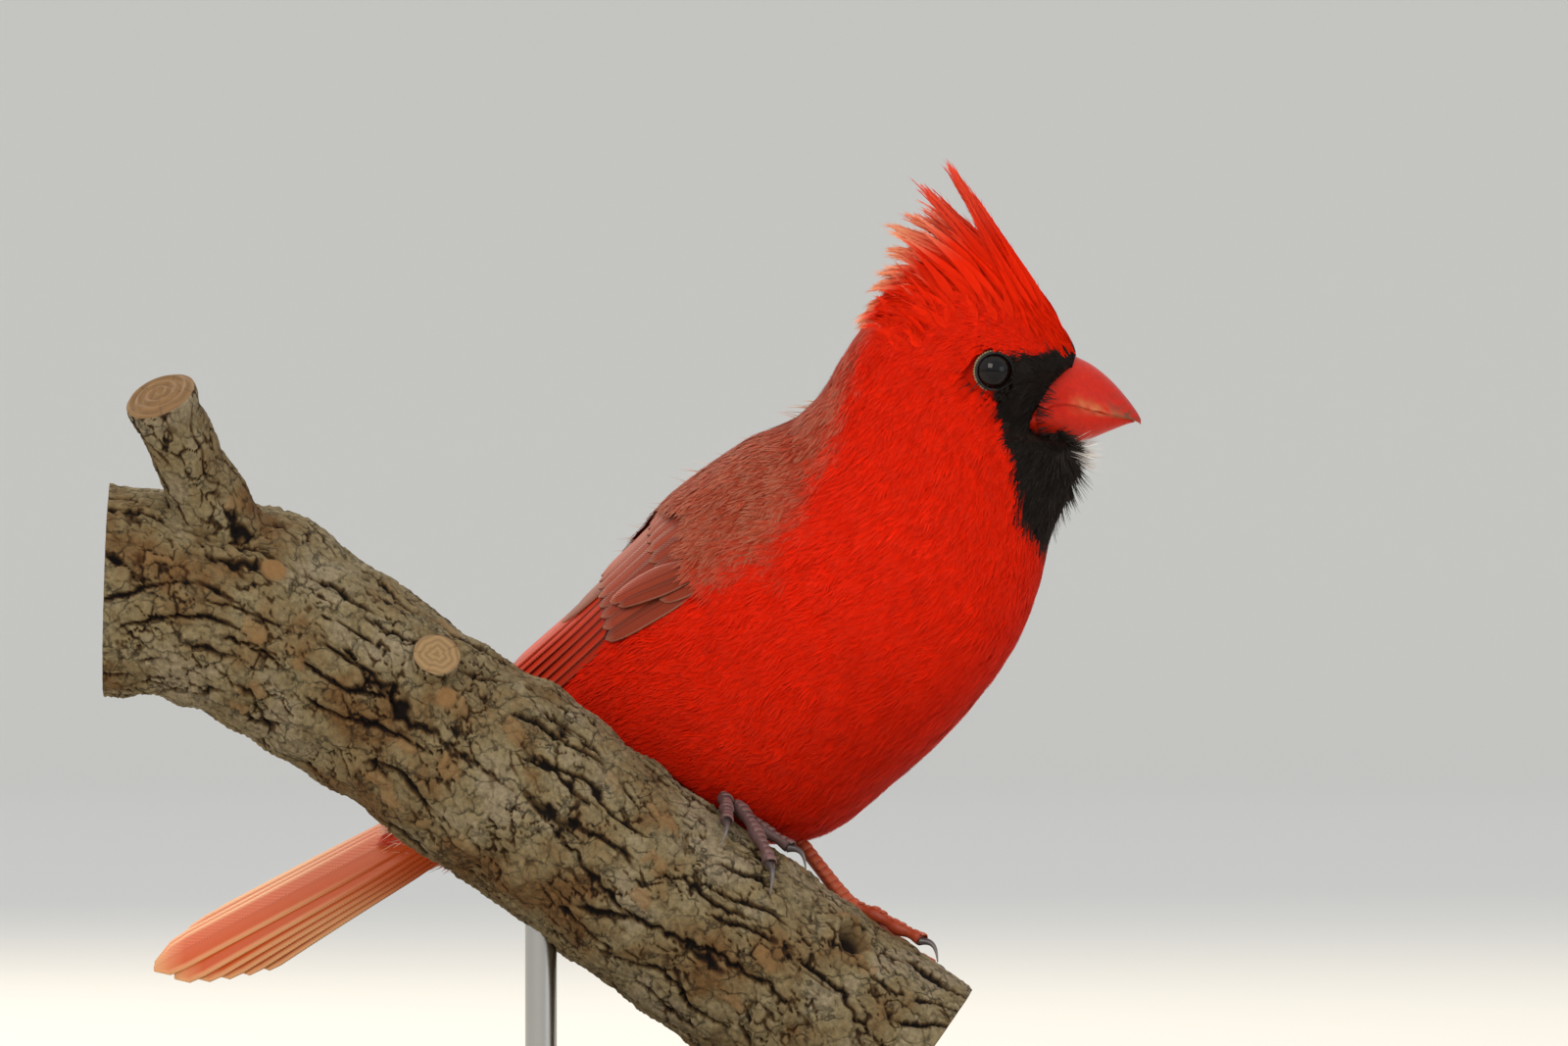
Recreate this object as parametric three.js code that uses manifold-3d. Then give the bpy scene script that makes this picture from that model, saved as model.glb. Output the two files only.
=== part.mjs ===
// A life-size male northern cardinal that grips a cut length of branch, on a plain display stand.
// Millimetres, +Z up. The bill points along +X, the bird's right side faces -Y, and the origin is
// the centre of the stand's underside.
import * as THREE from "three";
import { mergeVertices } from "three/addons/utils/BufferGeometryUtils.js";
import Module from "manifold-3d";

const wasm = await Module();
wasm.setup();

const { degToRad: rad, lerp: mix, clamp } = THREE.MathUtils;

// Driving dimensions, in millimetres and degrees.
const GAP = 0.3; // left between pieces that meet
const FACET_ERROR = 0.12; // how far a surface may be flattened to save facets
const BODY_YAW = 24; // the trunk turns this far towards -Y from the line of the bill
const NECK_X = 58; // where the middle plane of the bird bends
const NECK_SOFTNESS = 12;
const HEAD_Y = -8;
const FULLNESS = 2.2; // exponent of the trunk's rounded cross-sections
const EYE_RADIUS = 4.2;
const EYE = { x: 68.1, z: 170.4, out: 10.7 };
const TAIL_ROOT = { x: -2.4, z: 105.0 };
const TAIL_TIP = { x: -93.2, z: 57.2 };
const TAIL_ROLL = 42; // the tail's right edge hangs lower
const TAIL_STEP = 4.2; // each feather ends this much before the one inside it
const TAIL_SPREAD = { right: 5.2, left: 2.6 }; // from the middle feather to the next at the tip
const PERCH_RADIUS = 19.5;
const PERCH_Y = -10;
const PERCH_SLOPE = 35.7;
const PERCH_START = -74;
const PERCH_END = 105;
const PERCH_ZERO = { x: -33.5, z: 99.1 }; // the branch's axis where its distance w is 0
const BASE = { length: 184, depth: 108, height: 9, corner: 12, bevel: 1.2 };
const ROD_RADIUS = 3;
const ROD_SINK = 7; // how deep a rod goes into the branch
const ROD_FOOT = 4; // how deep a rod goes into the base
const ROD_STATIONS = { stand_rod_high: -18, stand_rod_low: 29 };

// Cuts across the bird from the end of the tail coverts to the base of the bill. Each has the dorsal
// and ventral points of the side view as [x, z], the half width, and how much wider and higher than
// the body the folded wings lie there.
const CUTS = [
  { dorsal: [-46.7, 83.7], ventral: [-45.6, 79.3], half: 2.2, wider: 6.0, higher: 2.2 },
  { dorsal: [-37.0, 90.4], ventral: [-33.3, 77.0], half: 6.5, wider: 5.0, higher: 3.6 },
  { dorsal: [-24.1, 103.3], ventral: [-16.7, 81.9], half: 12.0, wider: 4.2, higher: 3.4 },
  { dorsal: [-11.1, 120.0], ventral: [0.0, 81.1], half: 18.0, wider: 2.6, higher: 1.6 },
  { dorsal: [0.0, 134.6], ventral: [17.6, 81.5], half: 22.6, wider: 1.6, higher: 0.5 },
  { dorsal: [10.2, 145.9], ventral: [33.3, 82.8], half: 25.6, wider: 0.8, higher: 0.2 },
  { dorsal: [20.4, 153.6], ventral: [47.2, 93.1], half: 27.0, wider: 0.2, higher: 0 },
  { dorsal: [29.6, 159.6], ventral: [60.2, 104.6], half: 26.0, wider: 0, higher: 0 },
  { dorsal: [36.7, 166.6], ventral: [70.4, 117.6], half: 22.6, wider: 0, higher: 0 },
  { dorsal: [40.4, 173.6], ventral: [75.6, 129.6], half: 18.8, wider: 0, higher: 0 },
  { dorsal: [44.8, 180.2], ventral: [78.1, 139.8], half: 16.0, wider: 0, higher: 0 },
  { dorsal: [51.4, 185.4], ventral: [81.5, 147.2], half: 14.8, wider: 0, higher: 0 },
  { dorsal: [60.4, 188.3], ventral: [82.4, 152.0], half: 14.0, wider: 0, higher: 0 },
  { dorsal: [70.4, 185.8], ventral: [81.7, 155.2], half: 11.8, wider: 0, higher: 0 },
  { dorsal: [79.6, 179.6], ventral: [79.8, 156.6], half: 8.8, wider: 0, higher: 0 },
  { dorsal: [83.1, 173.9], ventral: [78.1, 157.2], half: 6.9, wider: 0, higher: 0 },
];
const COVERTS_END = 2; // the cut where the tail coverts meet the trunk
const TRUNK_END = 8.6;
const NECK_END = 10.5;
const CUT_GAP = 0.05; // in cuts, about 0.4 mm

const colour = (hex, roughness, metalness = 0) =>
  new THREE.MeshStandardMaterial({ color: hex, roughness, metalness });
const PLUMAGE = colour(0xd3200c, 0.75);
const BACK_PLUMAGE = colour(0xa8432f, 0.75);
const FLIGHT_PLUMAGE = colour(0xb0382a, 0.7);
const BILL_HORN = colour(0xe0452f, 0.35);
const EYE_GLASS = colour(0x140d0a, 0.05);
const SCALED_SKIN = colour(0x6b4f4c, 0.6);
const CLAW_HORN = colour(0x4a403e, 0.4);
const BARK = colour(0x6d5a44, 0.95);
const BASE_WOOD = colour(0x3a2a20, 0.45);
const STEEL = colour(0xb4b4b2, 0.3, 1);

// The smooth curve through a list of numbers, at place t in the list.
function along(values, t) {
  const last = values.length - 1;
  const i = clamp(Math.floor(t), 0, last - 1);
  const f = t - i;
  const at = (k) => values[clamp(k, 0, last)];
  const [a, b, c, d] = [at(i - 1), at(i), at(i + 1), at(i + 2)];
  return b + 0.5 * f * (c - a + f * (2 * a - 5 * b + 4 * c - d + f * (3 * (b - c) + d - a)));
}

// The bird's middle plane stands upright and bends at the neck, so a point is given by its place in
// the side view, x and z, and its distance out to the bird's right.
function place(x, out, z) {
  const reach = Math.hypot(NECK_X - x, NECK_SOFTNESS);
  const turn = Math.tan(rad(BODY_YAW)) / 2;
  const slope = -turn * (1 + (NECK_X - x) / reach);
  const y = HEAD_Y + turn * (NECK_X - x + reach);
  const length = Math.hypot(slope, 1);
  return new THREE.Vector3(x + (out * slope) / length, y - out / length, z);
}

const SIDES = { right: 1, left: -1 };
const column = (pick) => CUTS.map(pick);
const dorsalX = column((c) => c.dorsal[0]);
const dorsalZ = column((c) => c.dorsal[1]);
const ventralX = column((c) => c.ventral[0]);
const ventralZ = column((c) => c.ventral[1]);
const halves = column((c) => c.half);
const wider = column((c) => c.wider);
const higher = column((c) => c.higher);

// The edge of the feathers round the bill's base, as [z, x]. The face narrows towards it.
const BILL_EDGE = [
  [155.0, 90.0],
  [156.8, 84.0],
  [157.4, 77.2],
  [158.6, 75.2],
  [160.5, 74.4],
  [162.9, 75.6],
  [167.8, 78.4],
  [172.8, 82.9],
  [173.4, 90.0],
];
const FACE_START = 9; // the cut from which the face may narrow
const FACE_HALF = 6.9; // half the face's width at the bill's edge
const FACE_SLOPE = 1.1;
function faceLimit(x, z) {
  const above = BILL_EDGE.findIndex(([height]) => height > z);
  const k = clamp(above < 0 ? BILL_EDGE.length - 1 : above, 1, BILL_EDGE.length - 1);
  const [[z0, x0], [z1, x1]] = [BILL_EDGE[k - 1], BILL_EDGE[k]];
  const edge = mix(x0, x1, clamp((z - z0) / (z1 - z0), 0, 1));
  const level = 1.3 * (Math.max(z - 172.5, 0) + Math.max(157.4 - z, 0));
  return FACE_HALF + FACE_SLOPE * Math.max(edge - x, 0) + level;
}

const rounded = (value) => Math.sign(value) * Math.abs(value) ** (2 / FULLNESS);

// A point round cut t, at an angle from the bird's right side up towards its back, lifted off the
// body's surface, or off the surface on which the wings lie where winged is 1.
function bodyPoint(t, angle, lift, winged = 0) {
  const top = [along(dorsalX, t), along(dorsalZ, t) + winged * along(higher, t)];
  const low = [along(ventralX, t), along(ventralZ, t)];
  const half = along(halves, t) + winged * along(wider, t);
  const length = Math.hypot(top[0] - low[0], top[1] - low[1]) / 2;
  const up = rounded(Math.sin(angle)) * (1 + lift / length);
  const x = (top[0] + low[0]) / 2 + (up * (top[0] - low[0])) / 2;
  const z = (top[1] + low[1]) / 2 + (up * (top[1] - low[1])) / 2;
  const out = (half + lift) * rounded(Math.cos(angle));
  const limit = t > FACE_START ? faceLimit(x, z) + lift : Math.abs(out);
  return [x, Math.sign(out) * Math.min(Math.abs(out), limit), z];
}

// A closed solid from points and triangles, turned to face out.
function solidOf(points, faces) {
  let volume = 0;
  for (const [a, b, c] of faces) volume += points[a].dot(points[b].clone().cross(points[c]));
  const turned = volume < 0 ? faces.map(([a, b, c]) => [a, c, b]) : faces;
  return new wasm.Manifold(
    new wasm.Mesh({
      numProp: 3,
      vertProperties: new Float32Array(points.flatMap((p) => [p.x, p.y, p.z])),
      triVerts: new Uint32Array(turned.flat()),
    }),
  );
}

// A closed solid through rings of points, each ring listed the same way round.
function loft(rings) {
  const count = rings[0].length;
  const points = rings.flat();
  const faces = [];
  for (let i = 0; i + 1 < rings.length; i++)
    for (let j = 0; j < count; j++) {
      const a = i * count + j;
      const b = i * count + ((j + 1) % count);
      faces.push([a, b, b + count], [a, b + count, a + count]);
    }
  for (const [ring, first] of [[rings[0], 0], [rings.at(-1), (rings.length - 1) * count]]) {
    const centre = ring.reduce((sum, p) => sum.add(p), new THREE.Vector3()).divideScalar(count);
    points.push(centre);
    for (let j = 0; j < count; j++) {
      const edge = [first + j, first + ((j + 1) % count)];
      faces.push(first ? [points.length - 1, ...edge] : [points.length - 1, edge[1], edge[0]]);
    }
  }
  return solidOf(points, faces);
}

// A three.js geometry as a solid, at a place.
function solidFrom(geometry, matrix = new THREE.Matrix4()) {
  const bare = geometry.clone().applyMatrix4(matrix);
  bare.deleteAttribute("normal");
  bare.deleteAttribute("uv");
  const merged = mergeVertices(bare, 1e-4);
  return new wasm.Manifold(
    new wasm.Mesh({
      numProp: 3,
      vertProperties: merged.attributes.position.array,
      triVerts: new Uint32Array(merged.index.array),
    }),
  );
}

function geometryOf(solid) {
  const mesh = solid.getMesh();
  const places = new Float32Array(mesh.numVert * 3);
  for (let i = 0; i < mesh.numVert; i++)
    places.set(mesh.vertProperties.subarray(i * mesh.numProp, i * mesh.numProp + 3), i * 3);
  const geometry = new THREE.BufferGeometry();
  geometry.setAttribute("position", new THREE.BufferAttribute(places, 3));
  geometry.setIndex(new THREE.BufferAttribute(mesh.triVerts, 1));
  geometry.computeVertexNormals();
  return geometry;
}

const joined = (solids) => solids.reduce((sum, s) => sum.add(s));
const largest = (solid) =>
  solid.decompose().reduce((best, s) => (s.volume() > best.volume() ? s : best));
const steps = (count) => Array.from({ length: count }, (_, i) => i / (count - 1));

// Trunk, neck, head and coverts are one shape, parted at cuts.
const BODY_SIDES = 18;
function bodyLength(from, to, ringCount, grow) {
  const angles = Array.from({ length: BODY_SIDES }, (_, j) => (2 * Math.PI * j) / BODY_SIDES);
  const longer = grow / 9; // cuts lie about 9 mm apart
  return loft(
    steps(ringCount).map((f) => {
      const t = mix(from - longer, to + longer, f);
      return angles.map((angle) => place(...bodyPoint(t, angle, grow)));
    }),
  );
}

// The rows of a mandible run along the bill: x, top, bottom and half width. The upper one is arched
// and flat below, and the lower one is the other way up.
const UPPER_BILL = [
  [74.0, 173.6, 162.3, 6.6],
  [76.2, 174.6, 162.9, 7.0],
  [79.3, 174.8, 164.5, 6.9],
  [82.4, 173.5, 164.6, 6.5],
  [86.1, 171.6, 163.6, 5.4],
  [89.6, 168.7, 162.8, 4.0],
  [92.6, 165.3, 162.1, 2.4],
  [94.4, 162.8, 161.4, 1.0],
  [95.1, 161.5, 160.9, 0.3],
];
const LOWER_BILL = [
  [74.0, 161.8, 157.9, 6.6],
  [76.2, 162.5, 157.6, 6.9],
  [79.3, 164.1, 156.9, 6.7],
  [82.4, 164.2, 156.9, 6.1],
  [86.1, 163.2, 158.0, 4.9],
  [89.6, 162.4, 159.4, 3.3],
  [92.4, 161.7, 160.5, 1.5],
  [93.9, 161.2, 160.9, 0.4],
];
const BILL_SIDES = 12;
function mandible(rows, arch, grow) {
  const column4 = (k) => rows.map((row) => row[k]);
  const columns = [0, 1, 2, 3].map(column4);
  return loft(
    steps(rows.length * 2 - 1).map((f) => {
      const [x, top, low, half] = columns.map((c) => along(c, f * (rows.length - 1)));
      return steps(BILL_SIDES + 1).slice(0, -1).map((g) => {
        const angle = 2 * Math.PI * g;
        const height = Math.max(arch * Math.sin(angle), 0) ** 0.9;
        const level = arch > 0 ? mix(low, top, height) : mix(top, low, height);
        const grown = level + grow * Math.sign(level - (top + low) / 2);
        return place(x + grow * (f * 2 - 1), (half + grow) * Math.cos(angle), grown);
      });
    }),
  );
}

const eyeCentre = (side) => place(EYE.x, side * EYE.out, EYE.z);
const eyeball = (side, grow) =>
  solidFrom(
    new THREE.SphereGeometry(EYE_RADIUS + grow, 14, 9),
    new THREE.Matrix4().setPosition(eyeCentre(side)),
  );

// A tapering lock or claw: rings round a curve, with half widths across the curve's own plane.
function taper(curve, sizes, sideways, sides, ringCount, grow) {
  return loft(
    steps(ringCount).map((f) => {
      const centre = curve.getPoint(f);
      const tangent = curve.getTangent(f);
      const across = sideways.clone().addScaledVector(tangent, -sideways.dot(tangent)).normalize();
      const up = across.clone().cross(tangent);
      const [width, thickness] = sizes(f).map((v) => v + grow);
      return steps(sides + 1).slice(0, -1).map((g) => {
        const angle = 2 * Math.PI * g;
        return centre
          .clone()
          .addScaledVector(across, width * Math.cos(angle))
          .addScaledVector(up, thickness * Math.sin(angle));
      });
    }),
  );
}

// The crest is a fan of locks from the crown to a ragged back edge, each from a root [x, z] to a tip.
const CREST_ROOTS = [[75.5, 178.5], [49.0, 178.0]];
const CREST_TIPS = [
  [58.3, 210.7],
  [52.4, 206.1],
  [49.2, 201.0],
  [47.0, 195.5],
  [45.2, 188.5],
  [43.4, 181.6],
];
function crest(grow) {
  const locks = CREST_TIPS.map((tip, i) => {
    const root = [0, 1].map((k) => mix(CREST_ROOTS[0][k], CREST_ROOTS[1][k], i / 5));
    const points = steps(3).map((g) =>
      place(mix(root[0], tip[0], g), (i % 2 ? 0.8 : -0.8) * g, mix(root[1], tip[1], g)),
    );
    const sizes = (g) => [mix(5.2, 0.35, g ** 0.6), mix(4.6, 0.35, g ** 1.6)];
    const sideways = new THREE.Vector3(0, 1, 0);
    return taper(new THREE.CatmullRomCurve3(points), sizes, sideways, 8, 6, grow);
  });
  return joined(locks);
}

// The folded wing lies on the body's side. a runs from the wrist to the wing tip, and b from the lower
// edge up to the back.
const WRIST_CUT = 6.7;
const WING_TIP_CUT = 0.35;
function wingPoint(side, a, b, lift) {
  const angle = rad(mix(16 + 12 * a * a, 86 - 26 * a ** 3, b));
  const [x, out, z] = bodyPoint(mix(WRIST_CUT, WING_TIP_CUT, a), angle, lift, 1);
  return place(x, side * out, z);
}

// One feather as a thin cambered plate from its root to its rounded tip, each a pair [a, b].
function feather(side, { root, tip, half, top, narrowing = 0.6 }, grow) {
  const rings = steps(4).map((f) => {
    const a = mix(root[0], tip[0], f);
    const b = mix(root[1], tip[1], f);
    const scale = wingPoint(side, a, b + 0.01, 0).distanceTo(wingPoint(side, a, b - 0.01, 0)) / 0.02;
    const blunt = Math.sqrt(1 - clamp((f - 0.6) / 0.41, 0, 1) ** 2);
    const begin = mix(narrowing, 1, Math.min(f * 2.5, 1));
    const reach = ((half + grow) * begin * Math.max(blunt, 0.2)) / scale;
    const at = (v, lift) => wingPoint(side, a, b + v * reach, top + lift);
    const under = -FEATHER_THICKNESS - grow;
    return [at(-1, grow), at(0, grow + 0.25), at(1, grow), at(1, under), at(-1, under)];
  });
  return loft(rings);
}

// The shoulder's small feathers lie as one padded patch, rounded at both ends.
function shoulderPatch(side, grow) {
  const rings = steps(7).map((f) => {
    const a = mix(SHOULDER.from, SHOULDER.to, f) + (grow / 60) * (f * 2 - 1);
    const round = Math.sqrt(1 - clamp(Math.abs(f * 2 - 1.1) ** 3, 0, 0.96));
    const reach = SHOULDER.half * round + grow / 30;
    const across = steps(7).map((g) => BED_MIDDLE + reach * (g * 2 - 1));
    const bulge = across.map((b, k) => SHOULDER.bulge * Math.sin((Math.PI * k) / 6) * round);
    const high = across.map((b, k) => wingPoint(side, a, b, 0.2 + grow + bulge[k]));
    const deep = across.map((b) => wingPoint(side, a, b, SHOULDER.floor - grow));
    return [...high, ...deep.reverse()];
  });
  return loft(rings);
}

// Feather groups. Each list runs from the wing's lower edge up to the back, and each feather lies a
// little higher than the one below it.
const WING_SINK = -3.2; // the wing lies in a bed this deep in the body's side
const FEATHER_THICKNESS = 0.6;
const SHOULDER = { from: -0.05, to: 0.36, half: 0.56, bulge: 0.9, floor: -1.0 };
const group = (count, make) => steps(count).map((f, i) => make(f, i));
const primaries = group(4, (f, i) => ({
  root: [0.3, mix(0.12, 0.34, f)],
  tip: [mix(0.9, 1, f), mix(0.14, 0.62, f)],
  half: 4.2,
  top: WING_SINK + 0.9 + 0.12 * i,
}));
const secondaries = group(6, (f, i) => ({
  root: [0.26, mix(0.22, 0.82, f)],
  tip: [mix(0.82, 0.6, f), mix(0.42, 0.84, f)],
  half: mix(3.9, 4.6, f),
  top: WING_SINK + 2.3 + 0.11 * i,
}));
const greaterCoverts = group(5, (f, i) => ({
  root: [0.12, mix(0.08, 0.84, f)],
  tip: [mix(0.46, 0.52, f), mix(0.12, 0.9, f)],
  half: 4.4,
  top: WING_SINK + 4.0 + 0.09 * i,
}));
const plates = (list, side, grow) => joined(list.map((one) => feather(side, one, grow)));

// The hollow in the body's side for the wing.
const BED_MIDDLE = 0.465;
const BED_REACH = 0.59;
function wingBed(side) {
  const rings = steps(8).map((f) => {
    const a = mix(-0.06, 1.05, f);
    const round = Math.sqrt(1 - clamp((0.1 - a) / 0.18, 0, 0.96) ** 3);
    const across = steps(7).map((g) => BED_MIDDLE + BED_REACH * round * (g * 2 - 1));
    const deep = across.map((b) => wingPoint(side, a, b, WING_SINK - GAP));
    const high = across.map((b) => wingPoint(side, a, b, 9));
    return [...deep, ...high.reverse()];
  });
  return loft(rings);
}

// The tail: twelve feathers fan from the root, the outer ones shorter and underneath. q is across
// the tail to the bird's right, and h is above its plane.
const TAIL_LENGTH = Math.hypot(TAIL_TIP.x - TAIL_ROOT.x, TAIL_TIP.z - TAIL_ROOT.z);
function tailPoint(distance, q, h) {
  const dx = (TAIL_TIP.x - TAIL_ROOT.x) / TAIL_LENGTH;
  const dz = (TAIL_TIP.z - TAIL_ROOT.z) / TAIL_LENGTH;
  const roll = rad(TAIL_ROLL);
  const rise = h * Math.cos(roll) - q * Math.sin(roll);
  const out = q * Math.cos(roll) + h * Math.sin(roll);
  const x = TAIL_ROOT.x + dx * distance + dz * rise;
  return place(x, out, TAIL_ROOT.z + dz * distance - dx * rise);
}
function tail(grow) {
  const feathers = [];
  for (const [name, side] of Object.entries(SIDES))
    for (let i = 0; i < 6; i++) {
      const length = TAIL_LENGTH - TAIL_STEP * i;
      const level = -0.3 * i + 0.02 * side;
      const rings = steps(5).map((f) => {
        const distance = mix(24, length, f ** 0.8);
        const centre = side * (0.8 + TAIL_SPREAD[name] * i ** 0.6 * (distance / TAIL_LENGTH) ** 0.8);
        const blunt = Math.sqrt(1 - clamp((f - 0.8) / 0.21, 0, 1) ** 2);
        const half = (mix(2.6, 4.9, f) + grow) * Math.max(blunt, 0.3);
        const at = (v, h) => tailPoint(distance, centre + v * half, level + h);
        const under = -FEATHER_THICKNESS - grow;
        return [at(-1, grow), at(0, grow + 0.25), at(1, grow), at(1, under), at(-1, under)];
      });
      feathers.push(loft(rings));
    }
  return joined(feathers);
}

// The branch: its axis runs down towards +X, and levels out towards its upper end. w is the distance
// along it, and turn is the angle round it from its crest towards -Y.
const PERCH_LEVELLING = 0.0062; // degrees for each square millimetre of w below 0
function perchAxis(w) {
  let { x, z } = PERCH_ZERO;
  const stride = w / 48;
  let slope = rad(PERCH_SLOPE);
  for (let i = 0; i < 48; i++) {
    const at = Math.min((i + 0.5) * stride, 0);
    slope = rad(PERCH_SLOPE - PERCH_LEVELLING * at * at);
    x += stride * Math.cos(slope);
    z -= stride * Math.sin(slope);
  }
  return { x, z, slope };
}
function perchRadius(w, turn) {
  const lumps = 0.5 * Math.sin(3 * turn + w / 11) + 0.45 * Math.sin(w / 7 - 2 * turn);
  const knot = 2.4 * Math.exp(-(((w + 46) / 9) ** 2) - (turn / 0.8) ** 2); // the side branch's collar
  return PERCH_RADIUS + lumps * clamp((34 - w) / 20, 0.35, 1) + knot;
}
function perchPoint(w, turn, lift) {
  const { x, z, slope } = perchAxis(w);
  const reach = perchRadius(w, turn) + lift;
  const up = reach * Math.cos(turn);
  return new THREE.Vector3(
    x + up * Math.sin(slope),
    PERCH_Y - reach * Math.sin(turn),
    z + up * Math.cos(slope),
  );
}
const SIDE_BRANCH = { w: -50, length: 44, lean: 24, forward: 30, wide: 9.2, narrow: 6.6 };
function sideBranch(grow) {
  const start = perchPoint(SIDE_BRANCH.w, 0.1, -14);
  const lean = rad(SIDE_BRANCH.lean);
  const forward = rad(SIDE_BRANCH.forward);
  const way = new THREE.Vector3(
    -Math.sin(lean) * Math.cos(forward),
    -Math.sin(forward),
    Math.cos(lean) * Math.cos(forward),
  );
  const end = start.clone().addScaledVector(way, SIDE_BRANCH.length);
  const sizes = (f) => {
    const r = mix(SIDE_BRANCH.wide, SIDE_BRANCH.narrow, Math.min(f * 1.6, 1)) + 0.3 * Math.sin(9 * f);
    return [r, r * 0.94];
  };
  return taper(new THREE.LineCurve3(start, end), sizes, new THREE.Vector3(0, 1, 0), 14, 6, grow);
}
// A small sawn twig on the near side.
const TWIG = { w: -12, turn: 0.98, rise: 2.2, radius: 4.3 };
function twig(grow) {
  const curve = new THREE.LineCurve3(
    perchPoint(TWIG.w, TWIG.turn, -6),
    perchPoint(TWIG.w - 1.5, TWIG.turn, TWIG.rise),
  );
  const sizes = (f) => [mix(TWIG.radius + 1.4, TWIG.radius, f), mix(TWIG.radius + 1, TWIG.radius, f)];
  return taper(curve, sizes, new THREE.Vector3(0, 0, 1), 10, 3, grow);
}
const PERCH_SIDES = 16;
function perch(grow) {
  const rings = steps(18).map((f) => {
    const w = mix(PERCH_START, PERCH_END, f) + grow * (f * 2 - 1);
    return steps(PERCH_SIDES + 1).slice(0, -1).map((g) => perchPoint(w, 2 * Math.PI * g, grow));
  });
  return joined([loft(rings), sideBranch(grow), twig(grow)]);
}

// Legs. A foot's joint is on the branch at w and turn. Each toe runs from there over the bark to its
// own w and turn, and its claw goes on from it.
const LEGS = {
  right: {
    foot: [45, -0.24],
    ankle: [4.5, 5, 109],
    toes: [
      { to: [48.6, 0.5], claw: [50.6, 0.78] },
      { to: [59.6, 0.66], claw: [63.4, 0.92] },
      { to: [61.0, 0.06], claw: [66.2, 0.12] },
      { to: [36.5, -0.66], claw: [31.4, -0.86] },
    ],
  },
  left: {
    foot: [77.5, -0.5],
    ankle: [27.0, 7, 86.5],
    thigh: [23.5, 12.5, 92.5],
    toes: [
      { to: [89.5, -1.08], claw: [94.2, -1.22] },
      { to: [95.8, -0.54], claw: [100.8, -0.46] },
      { to: [91.5, -0.06], claw: [96.6, 0.06] },
      { to: [68.0, -0.96], claw: [62.6, -1.1] },
    ],
  },
};
const TOE_RADIUS = 1.35;
const CLAW_RADIUS = 0.85;
const TARSUS_RADIUS = 1.25;
const BARK_GAP = 0.35;
const footJoint = (leg) => perchPoint(...leg.foot, TOE_RADIUS + 0.9);
function tarsus(leg, grow) {
  const curve = new THREE.LineCurve3(new THREE.Vector3(...leg.ankle), footJoint(leg));
  const sizes = (f) => [TARSUS_RADIUS + 0.5 * f ** 6, TARSUS_RADIUS * 1.15 + 0.5 * f ** 6];
  return taper(curve, sizes, new THREE.Vector3(0, 1, 0), 8, 6, grow);
}
function thigh(leg, grow) {
  const start = new THREE.Vector3(...leg.thigh);
  const end = new THREE.Vector3(...leg.ankle).lerp(footJoint(leg), 0.28);
  const sizes = (f) => [mix(6.5, 1.9, f ** 0.8), mix(7.5, 2.0, f ** 0.8)];
  return taper(new THREE.LineCurve3(start, end), sizes, new THREE.Vector3(0, 1, 0), 10, 5, grow);
}
function toe(leg, { to }, grow) {
  const points = steps(7).map((f) => {
    const knuckle = 0.45 * Math.abs(Math.sin(1.5 * Math.PI * f)) + 0.8 * (1 - f) ** 3;
    const lift = TOE_RADIUS + BARK_GAP + knuckle;
    return perchPoint(mix(leg.foot[0], to[0], f), mix(leg.foot[1], to[1], f), lift);
  });
  const radius = (f) => TOE_RADIUS * (0.86 + 0.14 * Math.cos(6 * Math.PI * f)) * mix(1.08, 0.86, f);
  const sizes = (f) => [radius(f), radius(f)];
  return taper(new THREE.CatmullRomCurve3(points), sizes, new THREE.Vector3(0, 0.3, 1), 6, 7, grow);
}
function claw(leg, { to, claw: end }, grow) {
  const points = steps(4).map((f) => {
    const lift = mix(TOE_RADIUS + BARK_GAP, 0.55, f ** 1.4) + 1.3 * Math.sin(Math.PI * f);
    return perchPoint(mix(to[0], end[0], f), mix(to[1], end[1], f), lift);
  });
  const sizes = (f) => [mix(CLAW_RADIUS, 0.18, f), mix(CLAW_RADIUS * 1.2, 0.2, f)];
  return taper(new THREE.CatmullRomCurve3(points), sizes, new THREE.Vector3(0, 0.3, 1), 5, 5, grow);
}

// The stand: a flat base with bevelled edges, and two upright rods that stop inside the branch.
function baseGeometry() {
  const { length, depth, height, corner, bevel } = BASE;
  const [right, back] = [length / 2 - bevel, depth / 2 - bevel];
  const outline = new THREE.Shape();
  outline.moveTo(corner - right, -back);
  outline.lineTo(right - corner, -back);
  outline.absarc(right - corner, corner - back, corner, -Math.PI / 2, 0);
  outline.lineTo(right, back - corner);
  outline.absarc(right - corner, back - corner, corner, 0, Math.PI / 2);
  outline.lineTo(corner - right, back);
  outline.absarc(corner - right, back - corner, corner, Math.PI / 2, Math.PI);
  outline.lineTo(-right, corner - back);
  outline.absarc(corner - right, corner - back, corner, Math.PI, 1.5 * Math.PI);
  const geometry = new THREE.ExtrudeGeometry(outline, {
    depth: height - 2 * bevel,
    bevelThickness: bevel,
    bevelSize: bevel,
    bevelSegments: 1,
    curveSegments: 4,
  });
  return geometry.translate(0, 0, bevel);
}
function rodTop(x) {
  const { x: x0, z: z0 } = PERCH_ZERO;
  const axisZ = z0 - (x - x0) * Math.tan(rad(PERCH_SLOPE));
  return axisZ - PERCH_RADIUS / Math.cos(rad(PERCH_SLOPE)) + ROD_SINK;
}
function rod(x, grow) {
  const bottom = BASE.height - ROD_FOOT;
  const length = rodTop(x) - bottom;
  const geometry = new THREE.CylinderGeometry(ROD_RADIUS + grow, ROD_RADIUS + grow, length + 2 * grow, 20);
  const turn = new THREE.Matrix4().makeRotationX(Math.PI / 2);
  return solidFrom(geometry, turn.setPosition(x, PERCH_Y, bottom + length / 2));
}

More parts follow.
